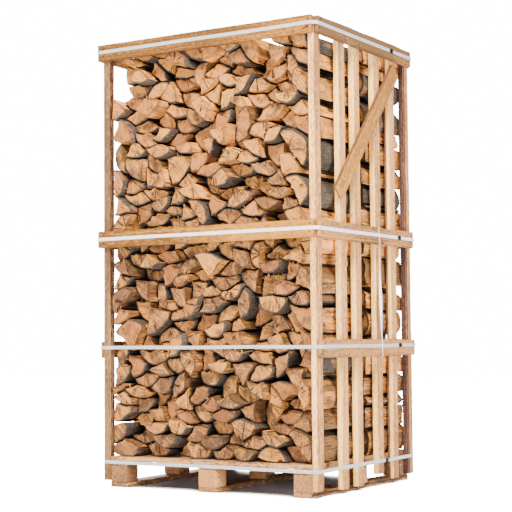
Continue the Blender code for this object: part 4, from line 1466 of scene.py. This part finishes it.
@dataclass
class Strapping:
    """The four bands, their crimped seals, and the loose end that hangs on the right side."""

    rail_face: tuple[float, float] = (0.60, 0.50)
    post_face: tuple[float, float] = (0.58, 0.48)
    clearance: float = 0.0003
    wide: float = 0.016
    thick: float = 0.0008
    corner: float = 0.0026
    corner_points: int = 5
    span: float = 0.03
    seed: int = 71
    overlap: float = 0.075
    flap_past: float = 0.008  # how far the free end of a band runs past its seal
    flap_off: tuple[float, float] = (0.0001, 0.0006)  # how far it lies off the band, and up
    flap_points: int = 12
    wave: float = 0.0007
    wave_long: float = 0.5
    tail_stations: tuple[tuple[float, float, float], ...] = (  # Y, Z and width
        (0.091, 1.212, 0.007),
        (0.096, 1.160, 0.006),
        (0.101, 1.115, 0.004),
        (0.100, 1.030, 0.008),
        (0.099, 0.930, 0.013),
        (0.102, 0.840, 0.014),
        (0.107, 0.750, 0.012),
        (0.111, 0.690, 0.008),
        (0.114, 0.645, 0.007),
        (0.116, 0.603, 0.005),
    )
    tail_x: float = 0.6022
    tail_points: int = 90
    twist: float = 38.0  # degrees
    twist_span: tuple[float, float] = (0.69, 1.128)  # heights that the tail is twisted between
    twist_fade: float = 0.048
    twist_pitch: float = 9.0
    sunk: float = 0.004
    thread_end: tuple[float, float, float] = (0.572, 0.004, 0.567)
    thread_points: int = 24
    thread_radius: float = 0.0006
    thread_sag: float = 0.006
    thread_root: float = 0.004  # how far above the tail's end it starts
    thread_wave: tuple[float, float] = (0.0012, 0.3)  # height, and least length as a share
    thread_sides: int = 6
    bite_place: float = 0.2  # where the tool bit the seal and how wide, as parts of its length
    bite_wide: float = 0.055
    bite_deep: tuple[float, float] = (0.35, 0.22)
    seal_steps: int = 25
    seal_girth: int = 20
    seal_power: float = 0.35  # how square its section is: 1 is round

    def profile(self) -> np.ndarray:
        """Section of the band: first axis outwards from its inner face, second axis up."""
        high, deep = self.wide / 2, self.thick
        points = [(0, 1), (0.4, 0.99), (1, 0.93), (1, 0.4), (1, -0.4), (1, -0.93), (0.4, -0.99)]
        points += [(0, -1), (0, -0.4), (0, 0.4)]
        return np.array(points)[::-1] * [deep, high]

    def corners(self, level: str) -> list[tuple[float, float]]:
        """Corners of a band's inner face, seen from above, anticlockwise from the front left."""
        x0, y0 = (face + self.clearance for face in self.rail_face)
        x1, y1 = (face + self.clearance for face in self.post_face)
        if level == "bottom":
            return [(-x1, -y1), (x1, -y1), (x1, y1), (-x1, y1)]
        if level == "lower":
            return [(-x0, -y1), (x0, -y1), (x0, y1), (-x0, y1)]
        return [(-x0, -y0), (x1, -y0), (x0, -y1), (x0, y1), (x1, y0), (-x0, y0)]

    def route(self, level: str) -> np.ndarray:
        """Points of a band's inner face: straight spans, and each corner rounded by the curve
        (1 - t)^2 before + 2 t (1 - t) corner + t^2 after."""
        corners = np.array(self.corners(level))
        share = np.linspace(0, 1, self.corner_points)[:, None]
        points = []
        lasts, followings = np.roll(corners, 1, 0), np.roll(corners, -1, 0)
        for last, corner, following in zip(lasts, corners, followings):
            on = following - corner
            before = corner + unit(last - corner) * self.corner
            after = corner + unit(on) * self.corner
            bend = (1 - share) ** 2 * before + 2 * share * (1 - share) * corner + share**2 * after
            steps = max(int(np.linalg.norm(on) / self.span), 1)
            run = np.linspace(0, 1, steps + 1)[1:, None]
            end = following - unit(on) * self.corner
            points += [bend, (after + (end - after) * run)[:-1]]
        return np.concatenate(points)

    def banded(
        self, route: np.ndarray, z: float, closed: bool, rng: np.random.Generator
    ) -> tuple[Mesh, np.ndarray]:
        """A band along a route seen from above.

        Args:
            route: Points of its inner face.
            z: Height of its middle.
            closed: Whether it goes all the way round.
            rng: Source of the random numbers.

        Returns:
            Its mesh, and metres along and across it at each corner.
        """
        if closed:
            tangent = np.roll(route, -1, 0) - np.roll(route, 1, 0)
            far = np.linalg.norm(np.roll(route, -1, 0) - route, axis=1)
        else:
            tangent = np.gradient(route, axis=0)
            far = np.linalg.norm(np.diff(route, axis=0, append=route[-1:]), axis=1)
        tangent = unit(tangent)
        flat = np.zeros(len(route))
        side = np.stack([tangent[:, 1], -tangent[:, 0], flat], 1)
        up = np.tile([0.0, 0.0, 1.0], (len(route), 1))
        wave = ripple(rng, *((places, self.wave_long) for places in route.T))
        path = np.stack([route[:, 0], route[:, 1], z + self.wave * wave], 1)
        profile = self.profile()
        mesh = carried(path, side, up, profile, closed)
        run = np.cumsum(far) - far[0]
        along = np.stack(
            np.broadcast_arrays(run[:, None], profile[None, :, 1], profile[None, :, 0]), -1
        ).reshape(-1, 3)
        if not closed:
            along = np.concatenate([along, along[[0, -1]]])
        return mesh, along

    def seal(self, level: str, finish: bpy.types.Material) -> None:
        """A crimped sleeve: a rounded plate section along Y, pinched where the tool bit twice."""
        low, high = (np.array(corner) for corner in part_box(f"seal_{level}"))
        centre, size = (low + high) / 2, high - low
        steps = np.linspace(-0.5, 0.5, self.seal_steps)
        bite = np.exp(-(((np.abs(steps) - self.bite_place) / self.bite_wide) ** 2))
        way = compass(np.linspace(0, TURN, self.seal_girth, endpoint=False))
        rim = np.sign(way) * np.abs(way) ** self.seal_power
        half = np.array([size[0], size[2]]) / 2 * (1 - bite[:, None] * self.bite_deep)
        profile = rim * half[:, None]
        path = centre + steps[:, None] * [0, size[1], 0]
        side = np.tile([1.0, 0, 0], (self.seal_steps, 1))
        up = np.tile([0, 0, 1.0], (self.seal_steps, 1))
        vertices, quads, fans = carried(path, side, up, profile, False)
        shape = (vertices, quads[:, ::-1], fans[:, ::-1])
        piece = put_mesh(f"crimped_seal_{level}", shape, [finish], sharp=50)
        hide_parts(f"seal_{level}")

    def tail(self, finish: bpy.types.Material, rng: np.random.Generator) -> None:
        """The loose end: a ribbon through the stations, half twisted, and a torn thread of it
        that runs on to the slats. Its corner is middle + across * width / 2."""
        stations = np.array(self.tail_stations)
        share = np.linspace(0, len(stations) - 1, self.tail_points)
        index = np.clip(share.astype(int), 0, len(stations) - 2)
        part = (share - index)[:, None]
        slope = np.gradient(stations, axis=0)
        smooth = (
            (2 * part**3 - 3 * part**2 + 1) * stations[index]
            + (part**3 - 2 * part**2 + part) * slope[index]
            + (3 * part**2 - 2 * part**3) * stations[index + 1]
            + (part**3 - part**2) * slope[index + 1]
        )
        y, z, wide = smooth.T
        low, high = self.twist_span
        free = np.clip((z - low) * (high - z) / self.twist_fade, 0, 1)
        twist = np.radians(self.twist) * free * np.sin((z - low) * self.twist_pitch)
        x = self.tail_x + np.abs(np.sin(twist)) * wide / 2 - self.sunk * free
        path = np.stack([x, y, z], 1)
        flat = np.zeros(len(z))
        up = np.stack([np.sin(twist), np.cos(twist), flat], 1)
        side = np.stack([np.cos(twist), -np.sin(twist), flat], 1)
        section = np.array([(-0.5, -1), (0.5, -1), (0.5, 0), (0.5, 1), (-0.5, 1), (-0.5, 0)])
        profile = section * np.stack([flat + self.thick, wide / 2], 1)[:, None]
        ribbon = carried(path, side, up, profile, False)
        start = path[-1] + [0.0, 0.0, self.thread_root]
        run = np.linspace(0, 1, self.thread_points)[:, None]
        thread_path = start + (np.array(self.thread_end) - start) * run
        sag = -self.thread_sag * np.sin(np.pi * run[:, 0])
        high, long = self.thread_wave
        thread_path[:, 2] += sag + high * ripple(rng, (run[:, 0], long))
        angle = np.linspace(0, TURN, self.thread_sides, endpoint=False)
        ring = self.thread_radius * compass(angle)
        side = np.tile([1.0, 0, 0], (self.thread_points, 1))
        up = np.tile([0, 0, 1.0], (self.thread_points, 1))
        thread = carried(thread_path, side, up, ring, False)
        shape = joined([ribbon, thread])
        attributes = {"along": shape[0][:, ::-1]}
        piece = put_mesh("loose_band_end", shape, [finish], attributes, sharp=60)
        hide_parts("strap_tail")
        LOG.info("strap_tail")

    def build(self) -> None:
        """Builds the bands, their overlapping ends, the seals and the tail."""
        clean = Band("ribbed_polypropylene_band").build()
        dusty_and_shaded = Band("dusty_polypropylene_band", "#AEB0B8").build()
        steel = Steel("blued_steel_seal", "#0E0E10", "#22160F", 0.5).build()
        rng = np.random.default_rng(self.seed)
        for level in ("bottom", "lower", "middle", "top"):
            low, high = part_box(f"strap_{level}")
            z = (low.z + high.z) / 2
            mesh, along = self.banded(self.route(level), z, True, rng)
            seal_low, seal_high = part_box(f"seal_{level}")
            off, lift = self.flap_off
            x = np.full(self.flap_points, seal_low.x - self.clearance + off)
            ends = seal_low.y - self.overlap, seal_high.y + self.flap_past
            route = np.stack([x, np.linspace(*ends, self.flap_points)], 1)
            flap, flap_along = self.banded(route, z + lift, False, rng)
            attributes = {"along": np.concatenate([along, flap_along])}
            band = clean if level == "middle" else dusty_and_shaded
            piece = put_mesh(f"band_{level}", joined([mesh, flap]), [band], attributes, sharp=50)
            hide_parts(f"strap_{level}")
            self.seal(level, steel)
            LOG.info("band_%s and its seal", level)
        self.tail(clean, rng)


@dataclass
class Nails:
    """Nails that hold the rails and the brace to the posts and slats. A head's dome is given by
    rings: part of its radius, and height."""

    seed: int = 83
    girth: int = 12
    head: float = 0.0042
    dome: tuple[tuple[float, float], ...] = ((1.0, 0.0), (1.0, 0.0005), (0.62, 0.0009))
    dome_high: float = 0.001
    shank: float = 0.0015
    inset: float = 0.018
    in_brace: tuple[tuple[float, float], ...] = (  # Y and Z
        (-0.262, 1.372), (-0.246, 1.396), (0.245, 1.905), (0.262, 1.93), (0.04, 1.69),
    )  # fmt: skip
    brace_face: float = 0.6
    scatter: tuple[float, float] = (0.002, 0.003)  # up and across
    front_shift: tuple[float, float] = (-0.003, 0.006)  # across, and the lower nail up
    side_shifts: tuple[tuple[float, float], ...] = ((0.007, 0.0), (-0.004, 0.008))
    side_sunk: float = 0.004  # how much lower the low nails of the other two sides are
    low_share: float = 0.6  # nails of the slats that are low ones
    bent: tuple[tuple[tuple[float, float, float], ...], ...] = (
        ((0.566, -0.5005, 2.0625), (0.563, -0.5035, 2.061), (0.551, -0.503, 2.055),
         (0.536, -0.5016, 2.048)),
        ((0.6005, -0.4555, 0.6415), (0.6035, -0.458, 0.640), (0.603, -0.471, 0.631),
         (0.6015, -0.487, 0.620)),
    )  # fmt: skip

    def spots(self, rng: np.random.Generator) -> tuple[np.ndarray, np.ndarray]:
        """Where the nail heads sit, and the way that each looks: two at each post and one or two
        at each slat, near the rail's upper and lower edge."""
        places, ways = [], []

        def add(node: str, axis: int, across: float, z: float, sign: int) -> None:
            """Adds one nail on a rail's outer face."""
            low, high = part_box(node)
            place = [0.0, 0.0, z + rng.normal(0, self.scatter[0])]
            place[axis] = (high if sign > 0 else low)[axis]
            place[1 - axis] = across + rng.normal(0, self.scatter[1])
            way = [0.0, 0.0, 0.0]
            way[axis] = float(sign)
            places.append(place)
            ways.append(way)

        for level in ("top", "middle"):
            for end, sign in (("front", -1), ("rear", 1)):
                node = f"rail_{level}_{end}"
                low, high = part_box(node)
                for side in ("left", "right"):
                    post_low, post_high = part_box(f"post_{side}_{end}")
                    across = (post_low.x + post_high.x) / 2 + self.front_shift[0]
                    for z in (high.z - self.inset, low.z + self.inset + self.front_shift[1]):
                        add(node, 1, across, z, sign)
        for level in ("top", "middle", "lower"):
            for side, sign in (("left", -1), ("right", 1)):
                node = f"rail_{level}_{side}"
                low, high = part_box(node)
                uprights = [f"post_{side}_front", f"post_{side}_rear"]
                for upright in uprights + [f"slat_{side}_{i}" for i in range(1, 5)]:
                    own_low, own_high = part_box(upright)
                    across = (own_low.y + own_high.y) / 2
                    lower, upper = low.z + self.inset - self.side_sunk, high.z - self.inset
                    if upright in uprights:
                        for z, (shift, rise) in zip((upper, lower), self.side_shifts):
                            add(node, 0, across + shift, z + rise, sign)
                    else:
                        z = lower if rng.random() < self.low_share else upper
                        add(node, 0, across, z, sign)
        places += [[self.brace_face, y, z] for y, z in self.in_brace]
        ways += [[1.0, 0.0, 0.0]] * len(self.in_brace)
        return np.array(places), np.array(ways)

    def build(self) -> None:
        """Builds the heads as low domes, and the bent nails as tubes with a head."""
        rng = np.random.default_rng(self.seed)
        places, ways = self.spots(rng)
        steel = Steel("rusty_nail_steel", "#2C2A2A", "#33241C", 0.5).build()
        girth, rings = self.girth, len(self.dome)
        top = (rings - 1) * girth
        angle = np.linspace(0, TURN, girth, endpoint=False)
        across = np.cross(ways, [0.0, 0.0, 1.0])
        up = np.tile([0.0, 0.0, 1.0], (len(ways), 1))
        circle = np.cos(angle)[:, None] * across[:, None] + np.sin(angle)[:, None] * up[:, None]
        hoops = [
            places[:, None] + circle * self.head * size + ways[:, None] * rise
            for size, rise in self.dome
        ]
        vertices = np.concatenate([*hoops, (places + ways * self.dome_high)[:, None]], 1)
        tips = turned(fan(top, girth, top + girth))
        parts = [copies(vertices, tube(rings, girth)[:, ::-1], tips)]
        for points in self.bent:
            path = np.array(points)
            tangent = unit(np.gradient(path, axis=0))
            side = unit(np.cross(tangent, [0.0, 0.0, 1.0]))
            parts.append(
                carried(path, side, np.cross(tangent, side), compass(angle) * self.shank, False)
            )
        piece = put_mesh("nails", joined(parts), [steel], sharp=50)
        LOG.info("nails: %d heads", len(places))


# ---------------------------------------------------------------- studio


@dataclass
class Studio:
    """The plain floor, the soft lights and the camera."""

    camera_place: tuple[float, float, float] = (3.4773, -5.6840, 0.6949)
    yaw: float = 31.602
    pitch: float = 3.421
    roll: float = -0.490
    focal_pixels: float = 1372.5
    image_pixels: int = 512
    sensor_mm: float = 36.0
    floor_half: float = 14.0
    backdrop: float = 16.0  # light of the white that the camera sees
    shade_reach: float = 0.35  # how near the pallet has to be for the painted shadow on the floor
    shade_range: tuple[float, float] = (0.34, 0.50)  # open sky of full painted shadow and of none
    shade_samples: int = 16
    sky: float = 0.4  # light of the sky on the pallet
    ambient: str = "#F0F8FF"
    lights: tuple[tuple, ...] = (  # name, place, aim, size, power in watts and colour
        ("key", (2.2, -5.0, 6.2), (0, 0, 1.1), 1.5, 1750, "#FFF1D9"),
        ("front", (1.8, -6.2, 0.9), (0, 0, 1.0), 2.0, 440, "#E9F1FF"),
        ("fill", (6.2, -1.4, 1.6), (0, 0, 1.0), 2.4, 550, "#F7F7FF"),
        ("rear", (-4.4, 4.6, 3.6), (0, 0, 1.0), 2.4, 2300, "#FFF8EE"),
    )

    def camera(self) -> None:
        """Sets the camera: turned about Z, tilted up about its own X, then rolled."""
        data = bpy.data.cameras.new("camera")
        data.sensor_width = self.sensor_mm
        data.lens = self.focal_pixels / self.image_pixels * self.sensor_mm
        data.clip_end = 60
        camera = bpy.data.objects.new("camera", data)
        camera.matrix_world = (
            Matrix.Translation(self.camera_place)
            @ Matrix.Rotation(math.radians(self.yaw), 4, "Z")
            @ Matrix.Rotation(math.radians(90 + self.pitch), 4, "X")
            @ Matrix.Rotation(math.radians(self.roll), 4, "Z")
        )
        bpy.context.scene.collection.objects.link(camera)
        bpy.context.scene.camera = camera

    def floor(self) -> None:
        """Lays a plain pale floor. The camera sees it washed out to white like the backdrop, less
        where the pallet stands over it: there a painted shadow darkens its colour and its glow."""
        half = self.floor_half
        mesh = bpy.data.meshes.new("floor")
        mesh.from_pydata(
            [(-half, -half, 0), (half, -half, 0), (half, half, 0), (-half, half, 0)],
            [],
            [(0, 1, 2, 3)],
        )
        finish = bpy.data.materials.new("pale_floor")
        finish.use_nodes = True
        add = partial(add_node, finish.node_tree)
        seen = add("LightPath", out="Is Camera Ray")
        near, (dark, light) = {"Distance": self.shade_reach}, self.shade_range
        open_sky = add("AmbientOcclusion", near, "AO", samples=self.shade_samples)
        clear = add("MapRange", {"Value": open_sky, "From Min": dark, "From Max": light})
        # Painted shadow: near and under the pallet the floor's colour turns to a dark grey.
        shades = {"Factor": clear, "A": linear("#93888A"), "B": linear("#F4F4F4")}
        # The white glow that the camera sees fades there too, as painted shadow.
        washed = add("Math", {0: seen, 1: clear}, operation="MULTIPLY")
        glow = add("Math", {0: washed, 1: self.backdrop}, operation="MULTIPLY")
        fill(
            finish.node_tree.nodes["Principled BSDF"],
            {
                "Base Color": add("Mix", shades, data_type="RGBA"),
                "Roughness": 0.9,
                "Emission Color": (1, 1, 1, 1),
                "Emission Strength": glow,
            },
        )
        mesh.materials.append(finish)
        floor = bpy.data.objects.new("floor", mesh)
        bpy.context.scene.collection.objects.link(floor)

    def light(
        self, name: str, place: tuple, aim: tuple, size: float, power: float, colour: str
    ) -> None:
        """Adds one square area light that looks at a point."""
        data = bpy.data.lights.new(name, "AREA")
        data.size = size
        data.color = linear(colour)[:3]
        data.energy = power
        lamp = bpy.data.objects.new(name, data)
        lamp.location = place
        lamp.rotation_euler = (Vector(aim) - Vector(place)).to_track_quat("-Z", "Y").to_euler()
        bpy.context.scene.collection.objects.link(lamp)

    def build(self) -> None:
        """Builds the camera, the floor and the lights."""
        self.camera()
        self.floor()
        world = bpy.data.worlds.new("studio")
        world.use_nodes = True
        add = partial(add_node, world.node_tree)
        seen = add("LightPath", out="Is Camera Ray")
        tints = {"Factor": seen, "A": linear(self.ambient), "B": linear("#FFFFFF")}
        strength = add("MapRange", {"Value": seen, "To Min": self.sky, "To Max": self.backdrop})
        tint = add("Mix", tints, data_type="RGBA")
        fill(world.node_tree.nodes["Background"], {"Color": tint, "Strength": strength})
        bpy.context.scene.world = world
        for light in self.lights:
            self.light(*light)


def main() -> None:
    """Builds the scene over the frame."""
    logging.basicConfig(level=logging.INFO, format="%(message)s")
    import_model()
    Studio().build()
    Firewood().build([LogEnd("sawn_end").build(), SplitFace("split").build(), Bark("bark").build()])
    Crate().build()
    Strapping().build()
    Nails().build()


if __name__ == "__main__":
    main()
